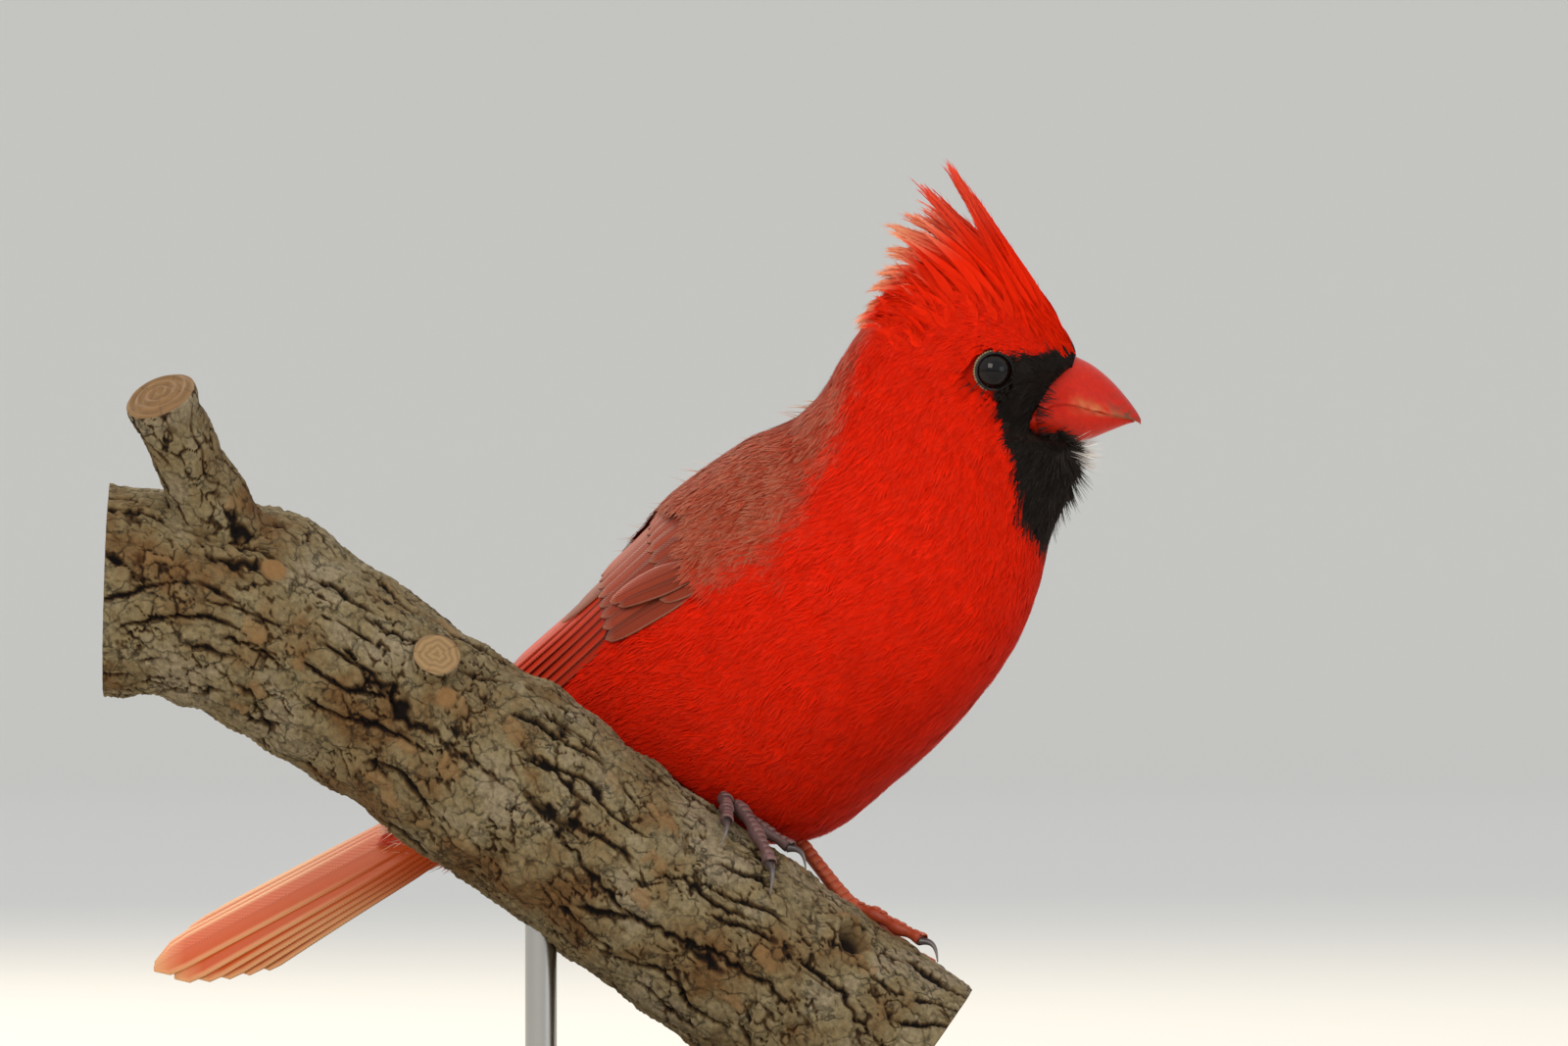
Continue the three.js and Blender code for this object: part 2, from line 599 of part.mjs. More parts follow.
// Every piece is a function of how far it is grown, so that a later neighbour can be cut clear of it.
const model = new THREE.Group();
const makers = new Map();
function piece(name, material, make, neighbours = [], hollows = []) {
  let solid = make(0);
  for (const other of neighbours) solid = solid.subtract(makers.get(other)(GAP));
  for (const hollow of hollows) solid = solid.subtract(hollow);
  solid = solid.simplify(FACET_ERROR);
  makers.set(name, make);
  const mesh = new THREE.Mesh(geometryOf(largest(solid)), material);
  mesh.name = name;
  model.add(mesh);
}

const beds = Object.values(SIDES).map((side) => wingBed(side));

for (const [name, x] of Object.entries(ROD_STATIONS)) piece(name, STEEL, (grow) => rod(x, grow));
const rods = Object.keys(ROD_STATIONS);
piece("stand_base", BASE_WOOD, () => solidFrom(baseGeometry()), rods);
piece("perch", BARK, perch, rods);

piece("bill_upper", BILL_HORN, (grow) => mandible(UPPER_BILL, 1, grow));
piece("bill_lower", BILL_HORN, (grow) => mandible(LOWER_BILL, -1, grow), ["bill_upper"]);
for (const [name, side] of Object.entries(SIDES))
  piece(`eye_${name}`, EYE_GLASS, (grow) => eyeball(side, grow));
const head = (grow) => bodyLength(NECK_END + CUT_GAP, CUTS.length - 1, 10, grow);
piece("head", PLUMAGE, head, ["bill_upper", "bill_lower", "eye_right", "eye_left"]);
const neck = (grow) => bodyLength(TRUNK_END + CUT_GAP, NECK_END, 5, grow);
piece("neck", PLUMAGE, neck);
piece("crest", PLUMAGE, crest, ["head", "neck"]);

for (const [name, leg] of Object.entries(LEGS)) {
  makers.set(`foot_room_${name}`, (grow) => {
    const ends = leg.toes.flatMap((one) => [toe(leg, one, grow), claw(leg, one, grow)]);
    return joined([tarsus(leg, grow), ...ends]);
  });
}
const feetRoom = Object.keys(LEGS).map((name) => `foot_room_${name}`);
const trunk = (grow) => bodyLength(COVERTS_END + CUT_GAP, TRUNK_END, 11, grow);
piece("trunk", PLUMAGE, trunk, ["perch", ...feetRoom], beds);
const coverts = (grow) => bodyLength(0, COVERTS_END, 6, grow);
piece("tail_coverts", PLUMAGE, coverts, ["perch"], beds);
piece("tail", FLIGHT_PLUMAGE, tail, ["tail_coverts", "trunk", "perch"]);

for (const [name, side] of Object.entries(SIDES)) {
  const [low, mid, top] = ["primaries", "secondaries", "coverts"].map((s) => `wing_${name}_${s}`);
  const body = ["tail_coverts", "tail", "perch"];
  const covering = (grow) => plates(greaterCoverts, side, grow).add(shoulderPatch(side, grow));
  piece(low, FLIGHT_PLUMAGE, (grow) => plates(primaries, side, grow), body);
  piece(mid, FLIGHT_PLUMAGE, (grow) => plates(secondaries, side, grow), [...body, low]);
  piece(top, BACK_PLUMAGE, covering, [low, mid]);
}

for (const [name, leg] of Object.entries(LEGS)) {
  const shank = (grow) => tarsus(leg, grow);
  piece(`tarsus_${name}`, SCALED_SKIN, shank, ["perch"]);
  if (leg.thigh) {
    const shin = [`tarsus_${name}`, "trunk", "perch"];
    piece(`thigh_${name}`, PLUMAGE, (grow) => thigh(leg, grow), shin);
  }
  const done = [`tarsus_${name}`];
  leg.toes.forEach((one, i) => {
    const own = `toe_${name}_${i + 1}`;
    piece(own, SCALED_SKIN, (grow) => toe(leg, one, grow), [...done, "perch"]);
    done.push(own);
    piece(`claw_${name}_${i + 1}`, CLAW_HORN, (grow) => claw(leg, one, grow), [own, "perch"]);
  });
}

export default model;
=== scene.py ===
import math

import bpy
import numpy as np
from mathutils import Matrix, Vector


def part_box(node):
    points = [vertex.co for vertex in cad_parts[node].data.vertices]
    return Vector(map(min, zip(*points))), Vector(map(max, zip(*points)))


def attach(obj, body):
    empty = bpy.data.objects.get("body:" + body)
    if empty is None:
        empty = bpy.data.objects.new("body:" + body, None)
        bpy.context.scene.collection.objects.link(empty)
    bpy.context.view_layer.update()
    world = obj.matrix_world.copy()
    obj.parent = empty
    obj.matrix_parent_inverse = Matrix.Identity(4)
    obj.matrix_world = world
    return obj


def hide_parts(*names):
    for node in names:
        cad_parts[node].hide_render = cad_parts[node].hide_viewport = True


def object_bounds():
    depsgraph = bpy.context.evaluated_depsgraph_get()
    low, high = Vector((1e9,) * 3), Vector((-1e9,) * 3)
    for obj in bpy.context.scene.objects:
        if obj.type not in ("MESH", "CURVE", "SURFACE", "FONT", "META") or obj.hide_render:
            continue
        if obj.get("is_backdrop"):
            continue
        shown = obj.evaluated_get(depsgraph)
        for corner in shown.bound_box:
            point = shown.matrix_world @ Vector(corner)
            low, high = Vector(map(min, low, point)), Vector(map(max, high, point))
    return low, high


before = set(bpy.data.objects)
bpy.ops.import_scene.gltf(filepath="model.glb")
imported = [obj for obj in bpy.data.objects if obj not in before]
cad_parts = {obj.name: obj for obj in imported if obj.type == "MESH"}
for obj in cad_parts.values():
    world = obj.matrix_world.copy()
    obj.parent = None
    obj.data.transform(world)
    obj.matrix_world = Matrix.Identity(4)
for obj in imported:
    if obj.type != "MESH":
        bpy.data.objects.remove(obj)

# %% [markdown]
# # A male northern cardinal on a cut length of branch
#
# The real thing is a small bird covered in overlapping feathers, each a shaft with a comb of fine
# barbs. Seen from a hand's length away, the body feathers blend into a soft coat, while the wing and
# tail feathers show as separate blades. This lesson builds the bird in that order: a smooth skin, a
# coat of small feathers that are laid on it by formula, then blades, bill, eyes, legs and bark.

MM = 0.001  # the frame is in metres, and every size below is in millimetres
cad_low, cad_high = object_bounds()
print("CAD box in mm:", [round(v / MM) for v in cad_high - cad_low])

# %% [markdown]
# ## Small tools
#
# Colours are given as sRGB hex values, as a colour picker shows them, and Blender's shaders work in
# linear light, so one function turns one into the other. Large meshes are handed over as whole
# arrays, which takes a fraction of a second where a loop over vertices takes minutes.


# %% Colour and smooth steps
def linear(hex_colour):
    """The linear RGB of an sRGB hex colour."""
    channels = np.array([int(hex_colour[k : k + 2], 16) / 255 for k in (1, 3, 5)])
    return np.where(channels <= 0.04045, channels / 12.92, ((channels + 0.055) / 1.055) ** 2.4)


def smooth(low, high, value):
    """0 below low, 1 above high, and a smooth rise between."""
    f = np.clip((value - low) / (high - low), 0, 1)
    return f * f * (3 - 2 * f)


def mix(a, b, f):
    return a + (b - a) * f


def blend_colours(a, b, weight):
    """Each row of a turned towards colour b by its own weight."""
    return a + (b - a) * np.asarray(weight)[..., None]


# %% Directions and angles
def unit_length(vectors):
    """Each row at length 1."""
    return vectors / np.linalg.norm(vectors, axis=-1, keepdims=True)


def full_turn(count):
    """Angles at even steps round a circle."""
    return np.arange(count) * 2 * math.pi / count


def steepness(angle):
    """How far up the side an angle points, in degrees from -90 below to 90 above."""
    return np.degrees(np.arcsin(np.clip(np.sin(angle), -1, 1)))


# %% One way to make every mesh
def make_piece(name, points, polygons, material, paint=None, bake=None):
    """A mesh from points in mm and arrays of triangles or quads. paint is a colour for each point, and
    bake a place for each point on the map that colours are baked to."""
    mesh = bpy.data.meshes.new(name)
    mesh.vertices.add(len(points))
    mesh.vertices.foreach_set("co", (np.asarray(points) * MM).astype(np.float32).ravel())
    corners = np.concatenate([p.ravel() for p in polygons]).astype(np.int32)
    sizes = np.concatenate([np.full(len(p), p.shape[1]) for p in polygons])
    mesh.loops.add(len(corners))
    mesh.loops.foreach_set("vertex_index", corners)
    mesh.polygons.add(len(sizes))
    mesh.polygons.foreach_set("loop_start", np.concatenate([[0], np.cumsum(sizes)[:-1]]).astype(np.int32))
    mesh.polygons.foreach_set("use_smooth", np.ones(len(sizes), bool))
    if paint is not None:
        layer = mesh.attributes.new("paint", "FLOAT_COLOR", "POINT")
        colours = np.concatenate([paint, np.ones((len(points), 1))], axis=1)
        layer.data.foreach_set("color", colours.astype(np.float32).ravel())
    if bake is not None:
        uv = mesh.uv_layers.new(name="OFBake")
        uv.data.foreach_set("uv", bake[corners].astype(np.float32).ravel())
    mesh.materials.append(material)
    mesh.update()
    piece = bpy.data.objects.new(name, mesh)
    bpy.context.scene.collection.objects.link(piece)
    return piece


def belongs(piece, slot, *nodes):
    """The piece rides on the row's one body and stands for CAD nodes. slot is not used."""
    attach(piece, "root")
    if nodes:
        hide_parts(*nodes)
    piece.data.calc_loop_triangles()
    print(f"{piece.name}: {len(piece.data.loop_triangles)} triangles, stands for {nodes or 'no node'}")
    return piece


def grid_faces(rows, columns, closed=False, start=0):
    """Quads of a grid of points, which joins up across its columns where it is closed."""
    row, column = np.meshgrid(np.arange(rows - 1), np.arange(columns - (not closed)), indexing="ij")
    across = (column + 1) % columns
    corners = [row * columns + column, row * columns + across]
    corners += [(row + 1) * columns + across, (row + 1) * columns + column]
    return start + np.stack(corners, -1).reshape(-1, 4)


def fan_faces(ring, centre, flip=False):
    """Triangles from a ring of point numbers to a centre point."""
    ring = np.asarray(ring)
    after = np.roll(ring, -1)
    middle = np.full(len(ring), centre)
    return np.stack([after, ring, middle] if flip else [ring, after, middle], -1)


# %% [markdown]
# ## Materials
#
# Feathers, horn, scaled skin and bark are all made of layers that grow, so their colour changes from
# place to place. Where it follows the animal's markings it is stored on the mesh's points, in an
# attribute called paint. Where it is a fine regular texture, the shader makes it from a pattern whose
# scale comes from a real size in millimetres. One function adds a node with settings and links.


# %% Nodes
def add_node(tree, kind, inputs=(), **settings):
    """Adds a node, sets its properties, and fills or links its inputs, given by name or number."""
    node = tree.nodes.new(kind)
    for name, value in settings.items():
        setattr(node, name, value)
    for name, value in dict(inputs).items():
        if isinstance(value, bpy.types.NodeSocket):
            tree.links.new(value, node.inputs[name])
        else:
            node.inputs[name].default_value = value
    return node


def new_material(name, colour=None, **values):
    """A material with a Principled shader. values are its sockets, with _ for a space."""
    material = bpy.data.materials.new(name)
    material.use_nodes = True
    tree = material.node_tree
    shader = tree.nodes["Principled BSDF"]
    if colour:
        shader.inputs["Base Color"].default_value = (*linear(colour), 1)
    for socket, value in values.items():
        shader.inputs[socket.replace("_", " ")].default_value = value
    return material, tree, shader


def painted_material(name, **values):
    """A material whose colour is the paint stored on the mesh's points."""
    material, tree, shader = new_material(name, **values)
    paint = add_node(tree, "ShaderNodeAttribute", attribute_name="paint")
    tree.links.new(paint.outputs["Color"], shader.inputs["Base Color"])
    return material, shader


def fill_ramp(ramp, stops):
    """Sets a colour ramp from places and sRGB hex colours, its two own stops first."""
    elements = ramp.color_ramp.elements
    for element, (position, _) in zip(elements, stops):
        element.position = position
    while len(elements) < len(stops):
        elements.new(stops[len(elements)][0])
    for position, colour in stops:
        for element in elements:
            if abs(element.position - position) < 1e-4:
                element.color = (*linear(colour), 1)


def waves_per_metre(size_mm):
    """The scale of a pattern on Object coordinates whose features are about this far apart."""
    return 1 / (size_mm * MM)


# %% Plumage: keratin barbs with a soft, matt, slightly satin surface
plumage, shader = painted_material("feather barbs", Roughness=0.66, Sheen_Weight=0.03, Sheen_Roughness=0.4)
shader.inputs["Sheen Tint"].default_value = (*linear("#ff8a50"), 1)
shader.inputs["Specular IOR Level"].default_value = 0.04

# %% Flight feathers: flat vanes, ruled by parallel barbs at a slant to the shaft
vanes, tree, shader = new_material("feather vanes", Roughness=0.55)
shader.inputs["Specular IOR Level"].default_value = 0.1
paint = add_node(tree, "ShaderNodeAttribute", attribute_name="paint")
ruling = add_node(tree, "ShaderNodeAttribute", attribute_name="barb")
# A barb is 0.3 mm wide on a real vane, which this size of picture can't show, so it is drawn 0.6 mm.
BARB_WIDE = 0.6
lines = add_node(
    tree, "ShaderNodeMath", {0: ruling.outputs["Fac"], 1: 2 * math.pi / BARB_WIDE}, operation="MULTIPLY"
)
wave = add_node(tree, "ShaderNodeMath", {0: lines.outputs[0]}, operation="SINE")
shade = add_node(tree, "ShaderNodeMapRange", {0: wave.outputs[0], 1: -1.0, 2: 1.0, 3: 0.72, 4: 1.1})
ruled = add_node(
    tree,
    "ShaderNodeVectorMath",
    {0: paint.outputs["Color"], "Scale": shade.outputs[0]},
    operation="SCALE",
)
tree.links.new(ruled.outputs[0], shader.inputs["Base Color"])
bump = add_node(tree, "ShaderNodeBump", {"Height": wave.outputs[0], "Strength": 0.25, "Distance": 0.06 * MM})
tree.links.new(bump.outputs[0], shader.inputs["Normal"])


# %% Horn: the bill's and claws' hard keratin, smooth with faint growth lines
def horn(name, roughness, relief_mm):
    material, tree, shader = new_material(name, Roughness=roughness)
    paint = add_node(tree, "ShaderNodeAttribute", attribute_name="paint")
    place = add_node(tree, "ShaderNodeTexCoord")
    grain = add_node(
        tree,
        "ShaderNodeTexNoise",
        {"Vector": place.outputs["Object"], "Scale": waves_per_metre(0.9), "Detail": 4.0},
    )
    shade = add_node(tree, "ShaderNodeMapRange", {0: grain.outputs["Fac"], 1: 0.3, 2: 0.7, 3: 0.88, 4: 1.1})
    toned = add_node(
        tree,
        "ShaderNodeVectorMath",
        {0: paint.outputs["Color"], "Scale": shade.outputs[0]},
        operation="SCALE",
    )
    tree.links.new(toned.outputs[0], shader.inputs["Base Color"])
    bump = add_node(
        tree, "ShaderNodeBump", {"Height": grain.outputs["Fac"], "Strength": 0.3, "Distance": relief_mm * MM}
    )
    tree.links.new(bump.outputs[0], shader.inputs["Normal"])
    return material, shader


bill_horn, shader = horn("bill horn", 0.38, 0.05)
shader.inputs["Specular IOR Level"].default_value = 0.2
shader.inputs["Subsurface Weight"].default_value = 0.08
shader.inputs["Subsurface Scale"].default_value = 1.0 * MM
shader.inputs["Subsurface Radius"].default_value = (1.0, 0.35, 0.2)
claw_horn, shader = horn("claw horn", 0.32, 0.02)
scaled_skin, shader = horn("scaled leg skin", 0.55, 0.12)

# %% Eye: a wet cornea over a dark iris
cornea, shader = painted_material("wet cornea", Roughness=0.04, IOR=1.34)

# %% Bark: dead corky plates, lichen-grey on top and rusty where it has flaked, painted dark in the fissures as shade
bark, tree, shader = new_material("fissured bark", Roughness=0.92)
shader.inputs["Specular IOR Level"].default_value = 0.2
place = add_node(tree, "ShaderNodeTexCoord")
height = add_node(tree, "ShaderNodeAttribute", attribute_name="height")
patches = add_node(
    tree,
    "ShaderNodeTexNoise",
    {"Vector": place.outputs["Object"], "Scale": waves_per_metre(16), "Detail": 3.0, "Roughness": 0.6},
)
speckle = add_node(
    tree,
    "ShaderNodeTexNoise",
    {"Vector": place.outputs["Object"], "Scale": waves_per_metre(1.1), "Detail": 5.0, "Roughness": 0.7},
)
plates = add_node(tree, "ShaderNodeValToRGB", {"Fac": patches.outputs["Fac"]})
fill_ramp(plates, [(0.36, "#6f5230"), (0.62, "#8f8065"), (0.45, "#7c6847"), (0.54, "#867757")])
# Darker lower in the bark: browner between the plates, and painted shade, near black, deep in the furrows and
# cracks.
by_depth = add_node(tree, "ShaderNodeValToRGB", {"Fac": height.outputs["Fac"]})
fill_ramp(by_depth, [(0.08, "#2a2019"), (0.72, "#ffffff"), (0.38, "#a08c74")])
grain_tone = add_node(
    tree, "ShaderNodeMapRange", {0: speckle.outputs["Fac"], 1: 0.3, 2: 0.7, 3: 0.6, 4: 1.28}
)
in_depth = add_node(
    tree,
    "ShaderNodeVectorMath",
    {0: plates.outputs["Color"], 1: by_depth.outputs["Color"]},
    operation="MULTIPLY",
)
# Fine crazing: cells 6.2 mm long and 3.8 mm wide, turned to lie along the sloping branch.
PERCH_SLOPE = 35.7
CRAZE_LONG, CRAZE_WIDE = 6.2, 3.8
along_branch = add_node(
    tree,
    "ShaderNodeMapping",
    {
        "Vector": place.outputs["Object"],
        "Rotation": (0.0, math.radians(-PERCH_SLOPE), 0.0),
        "Scale": [waves_per_metre(size) for size in (CRAZE_LONG, CRAZE_WIDE, CRAZE_WIDE)],
    },
)
jagged = add_node(
    tree,
    "ShaderNodeTexNoise",
    {"Vector": place.outputs["Object"], "Scale": waves_per_metre(3.4), "Detail": 4.0},
)
shifted = add_node(
    tree,
    "ShaderNodeVectorMath",
    {0: jagged.outputs["Color"], 1: (1.3, 1.3, 1.3), 2: along_branch.outputs[0]},
    operation="MULTIPLY_ADD",
)
crazing = add_node(
    tree, "ShaderNodeTexVoronoi", {"Vector": shifted.outputs[0], "Scale": 1.0}, feature="DISTANCE_TO_EDGE"
)
faint = add_node(tree, "ShaderNodeMapRange", {0: jagged.outputs["Fac"], 1: 0.42, 2: 0.62, 3: 0.25, 4: 0.85})
craze = add_node(
    tree,
    "ShaderNodeMapRange",
    {0: crazing.outputs["Distance"], 1: 0.005, 2: 0.09, 3: faint.outputs[0], 4: 1.0},
)
both_tones = add_node(
    tree, "ShaderNodeMath", {0: grain_tone.outputs[0], 1: craze.outputs[0]}, operation="MULTIPLY"
)
toned = add_node(
    tree,
    "ShaderNodeVectorMath",
    {0: in_depth.outputs[0], "Scale": both_tones.outputs[0]},
    operation="SCALE",
)
bare = add_node(tree, "ShaderNodeAttribute", attribute_name="bare")
wood = add_node(tree, "ShaderNodeAttribute", attribute_name="paint")
shown = add_node(tree, "ShaderNodeMix", {"Factor": bare.outputs["Fac"]}, data_type="RGBA")
tree.links.new(toned.outputs[0], shown.inputs[6])
tree.links.new(wood.outputs["Color"], shown.inputs[7])
tree.links.new(shown.outputs[2], shader.inputs["Base Color"])
bump = add_node(
    tree, "ShaderNodeBump", {"Height": speckle.outputs["Fac"], "Strength": 0.9, "Distance": 0.3 * MM}
)
tree.links.new(bump.outputs[0], shader.inputs["Normal"])

# %% Sawn wood: the branch's cut ends, with growth rings painted on their points
sawn_wood, shader = painted_material("sawn end grain", Roughness=0.8)

# %% Stained walnut: a planed board with long dark grain under satin varnish
board, tree, shader = new_material("stained walnut", Roughness=0.42, Coat_Weight=0.25, Coat_Roughness=0.25)
place = add_node(tree, "ShaderNodeTexCoord")
along_grain = add_node(
    tree, "ShaderNodeMapping", {"Vector": place.outputs["Object"], "Scale": (0.12, 1.0, 1.0)}
)
grain = add_node(
    tree,
    "ShaderNodeTexNoise",
    {"Vector": along_grain.outputs[0], "Scale": waves_per_metre(2.6), "Detail": 6.0, "Distortion": 0.4},
)
stain = add_node(tree, "ShaderNodeValToRGB", {"Fac": grain.outputs["Fac"]})
fill_ramp(stain, [(0.3, "#2c1c13"), (0.7, "#5a3b27")])
tree.links.new(stain.outputs["Color"], shader.inputs["Base Color"])

# %% Drawn steel rod, and the studio's painted floor
rod_steel, tree, shader = new_material("drawn steel rod", "#b9b8b4", Roughness=0.28, Metallic=1.0)
floor_paint, tree, shader = new_material("matt floor paint", "#dedbd4", Roughness=0.9)
print("materials:", [m.name for m in bpy.data.materials])

# %% [markdown]
# ## The bird's shape as a formula
#
# A perched songbird is a row of rounded cross-sections, swept from the end of the tail coverts to the
# base of the bill. Its middle plane bends at the neck, since the bird looks straight ahead while its
# body points a little away. The same rule shaped the CAD solids, and here it gives every feather a
# place: a number t along the body, and an angle from the bird's right side up to its back.

# %% Cross-sections: dorsal x and z, ventral x and z, half width, and how the folded wings add to it
CUTS = np.array([
    [-46.7, 83.7, -45.6, 79.3, 2.2, 6.0, 2.2],
    [-37.0, 90.4, -33.3, 77.0, 6.5, 5.0, 3.6],
    [-24.1, 103.3, -16.7, 81.9, 12.0, 4.2, 3.4],
    [-11.1, 120.0, 0.0, 81.1, 18.0, 2.6, 1.6],
    [0.0, 134.6, 17.6, 81.5, 22.6, 1.6, 0.5],
    [10.2, 145.9, 33.3, 82.8, 25.6, 0.8, 0.2],
    [20.4, 153.6, 47.2, 93.1, 27.0, 0.2, 0.0],
    [29.6, 159.6, 60.2, 104.6, 26.0, 0.0, 0.0],
    [36.7, 166.6, 70.4, 117.6, 22.6, 0.0, 0.0],
    [40.4, 173.6, 75.6, 129.6, 18.8, 0.0, 0.0],
    [44.8, 180.2, 78.1, 139.8, 16.0, 0.0, 0.0],
    [51.4, 185.4, 81.5, 147.2, 14.8, 0.0, 0.0],
    [60.4, 188.3, 82.4, 152.0, 14.0, 0.0, 0.0],
    [70.4, 185.8, 81.7, 155.2, 11.8, 0.0, 0.0],
    [79.6, 179.6, 79.8, 156.6, 8.8, 0.0, 0.0],
    [83.1, 173.9, 78.1, 157.2, 6.9, 0.0, 0.0],
])
LAST_CUT = len(CUTS) - 1
BILL_EDGE_LINE = np.array([
    [155.0, 90.0], [156.8, 84.0], [157.4, 77.2], [158.6, 75.2], [160.5, 74.4], [162.9, 75.6], [167.8, 78.4],
    [172.8, 82.9], [173.4, 90.0],
])
BODY_TURN = math.tan(math.radians(24)) / 2
NECK_X, NECK_SOFTNESS, HEAD_Y = 58, 12, -8
FULLNESS, LEAST_HALF = 2.2, 0.8
FACE_START, FACE_HALF, FACE_BASE_HALF, FACE_SLOPE = 9, 6.9, 5.2, 1.1
FACE_TOP, FACE_LOW, FACE_SPREAD = 172.5, 157.4, 1.3


def along(values, t):
    """The smooth curve through rows of values at places t, and a straight line past its ends."""
    t = np.asarray(t, float)
    last = len(values) - 1
    inside = np.clip(t, 0, last)
    i = np.clip(np.floor(inside).astype(int), 0, last - 1)
    f = (inside - i)[..., None] if values.ndim == 2 else inside - i
    a, b, c, d = (values[np.clip(i + k, 0, last)] for k in (-1, 0, 1, 2))
    curve = b + 0.5 * f * (c - a + f * (2 * a - 5 * b + 4 * c - d + f * (3 * (b - c) + d - a)))
    ends = np.where(t < 0, 0, last - 1)
    slope = values[ends + 1] - values[ends]
    past = t - inside
    return curve + slope * (past[..., None] if values.ndim == 2 else past)


def place(x, out, z):
    """The world point at x and z in the side view and a distance out to the bird's right."""
    reach = np.hypot(NECK_X - x, NECK_SOFTNESS)
    slope = -BODY_TURN * (1 + (NECK_X - x) / reach)
    y = HEAD_Y + BODY_TURN * (NECK_X - x + reach)
    length = np.hypot(slope, 1)
    return np.stack(np.broadcast_arrays(x + out * slope / length, y - out / length, z), -1)


def face_limit(x, z):
    """How far out the face may reach: it narrows towards the base of the bill."""
    edge = np.interp(z, BILL_EDGE_LINE[:, 0], BILL_EDGE_LINE[:, 1])
    level = FACE_SPREAD * (np.maximum(z - FACE_TOP, 0) + np.maximum(FACE_LOW - z, 0))
    half = mix(FACE_HALF, FACE_BASE_HALF, smooth(-0.6, 0.6, x - edge))
    return half + FACE_SLOPE * np.maximum(edge - x, 0) + level


def body_side_view(t, angle, lift, winged=0.0):
    """x, out and z of a point lifted off the body, or off the folded wings where winged is 1."""
    cut = along(CUTS, t)
    top_x, top_z, low_x, low_z, half = (cut[..., k] for k in range(5))
    top_z = top_z + winged * cut[..., 6]
    half = np.maximum(half + winged * cut[..., 5], LEAST_HALF)
    length = np.maximum(np.hypot(top_x - low_x, top_z - low_z) / 2, LEAST_HALF)

    def rounded(value):
        return np.sign(value) * np.abs(value) ** (2 / FULLNESS)

    up = rounded(np.sin(angle)) * (1 + lift / length) / 2
    x = (top_x + low_x) / 2 + up * (top_x - low_x)
    z = (top_z + low_z) / 2 + up * (top_z - low_z)
    out = (half + lift) * rounded(np.cos(angle))
    limit = np.where(t > FACE_START, face_limit(x, z) + lift, 99)
    return x, np.sign(out) * np.minimum(np.abs(out), np.maximum(limit, 1)), z


def body_point(t, angle, lift, winged=0.0):
    return place(*body_side_view(t, angle, lift, winged))


print("bill to tail coverts in mm:", np.ptp(CUTS[:, 0]))

# %% [markdown]
# ## The branch as a formula
#
# The branch comes before the bird's coat, because belly feathers part round it. Its axis slopes down
# to the right and levels out at its upper end. w is the distance along the axis, and turn the angle
# round it from its crest towards the viewer's side.

# %% Branch axis and radius
PERCH_RADIUS, PERCH_Y, PERCH_LEVELLING = 19.5, -10, 0.0062
PERCH_START, PERCH_END = -74, 105
PERCH_ZERO = (-33.5, 99.1)
W_STEP = 0.25
w_table = np.arange(-90, 120, W_STEP)
slope_table = np.radians(PERCH_SLOPE - PERCH_LEVELLING * np.minimum(w_table, 0) ** 2)
between = slope_table[1:] / 2 + slope_table[:-1] / 2
x_table = np.concatenate([[0], np.cumsum(np.cos(between) * W_STEP)])
z_table = -np.concatenate([[0], np.cumsum(np.sin(between) * W_STEP)])
x_table += PERCH_ZERO[0] - np.interp(0, w_table, x_table)
z_table += PERCH_ZERO[1] - np.interp(0, w_table, z_table)


def perch_axis(w):
    return np.interp(w, w_table, x_table), np.interp(w, w_table, z_table), np.interp(w, w_table, slope_table)


def perch_radius(w, turn):
    lumps = 0.5 * np.sin(3 * turn + w / 11) + 0.45 * np.sin(w / 7 - 2 * turn)
    knot = 2.4 * np.exp(-(((w + 46) / 9) ** 2) - (turn / 0.8) ** 2)
    return PERCH_RADIUS + lumps * np.clip((34 - w) / 20, 0.35, 1) + knot


def perch_point(w, turn, lift):
    x, z, slope = perch_axis(w)
    reach = perch_radius(w, turn) + lift
    up = reach * np.cos(turn)
    points = (x + up * np.sin(slope), PERCH_Y - reach * np.sin(turn), z + up * np.cos(slope))
    return np.stack(np.broadcast_arrays(*points), -1)


def clear_of_perch(points, gap):
    """Points inside the branch are moved straight out of it."""
    w = np.full(points.shape[:-1], 30.0)
    for _ in range(3):
        x, z, slope = perch_axis(w)
        w = w + (points[..., 0] - x) * np.cos(slope) - (points[..., 2] - z) * np.sin(slope)
    x, z, slope = perch_axis(w)
    up = (points[..., 0] - x) * np.sin(slope) + (points[..., 2] - z) * np.cos(slope)
    side = PERCH_Y - points[..., 1]
    turn = np.arctan2(side, up)
    here = np.hypot(up, side)
    wanted = perch_radius(w, turn) + gap
    moved = perch_point(w, turn, gap)
    inside = (here < wanted) & (w > PERCH_START) & (w < PERCH_END)
    return np.where(inside[..., None], moved, points)


low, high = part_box("perch")
print("branch solid in mm:", [round(v / MM) for v in high - low])

# %% [markdown]
# ## Markings
#
# A male cardinal is scarlet with a black mask from the bill round to the eye and down to a bib. Its
# nape, back and wing coverts are dusty, because the feathers there have grey-brown fringes. The
# colour of a place is worked out once, from its x and z in the side view and its angle round the
# body, and both the skin and the feathers on it take it from there.

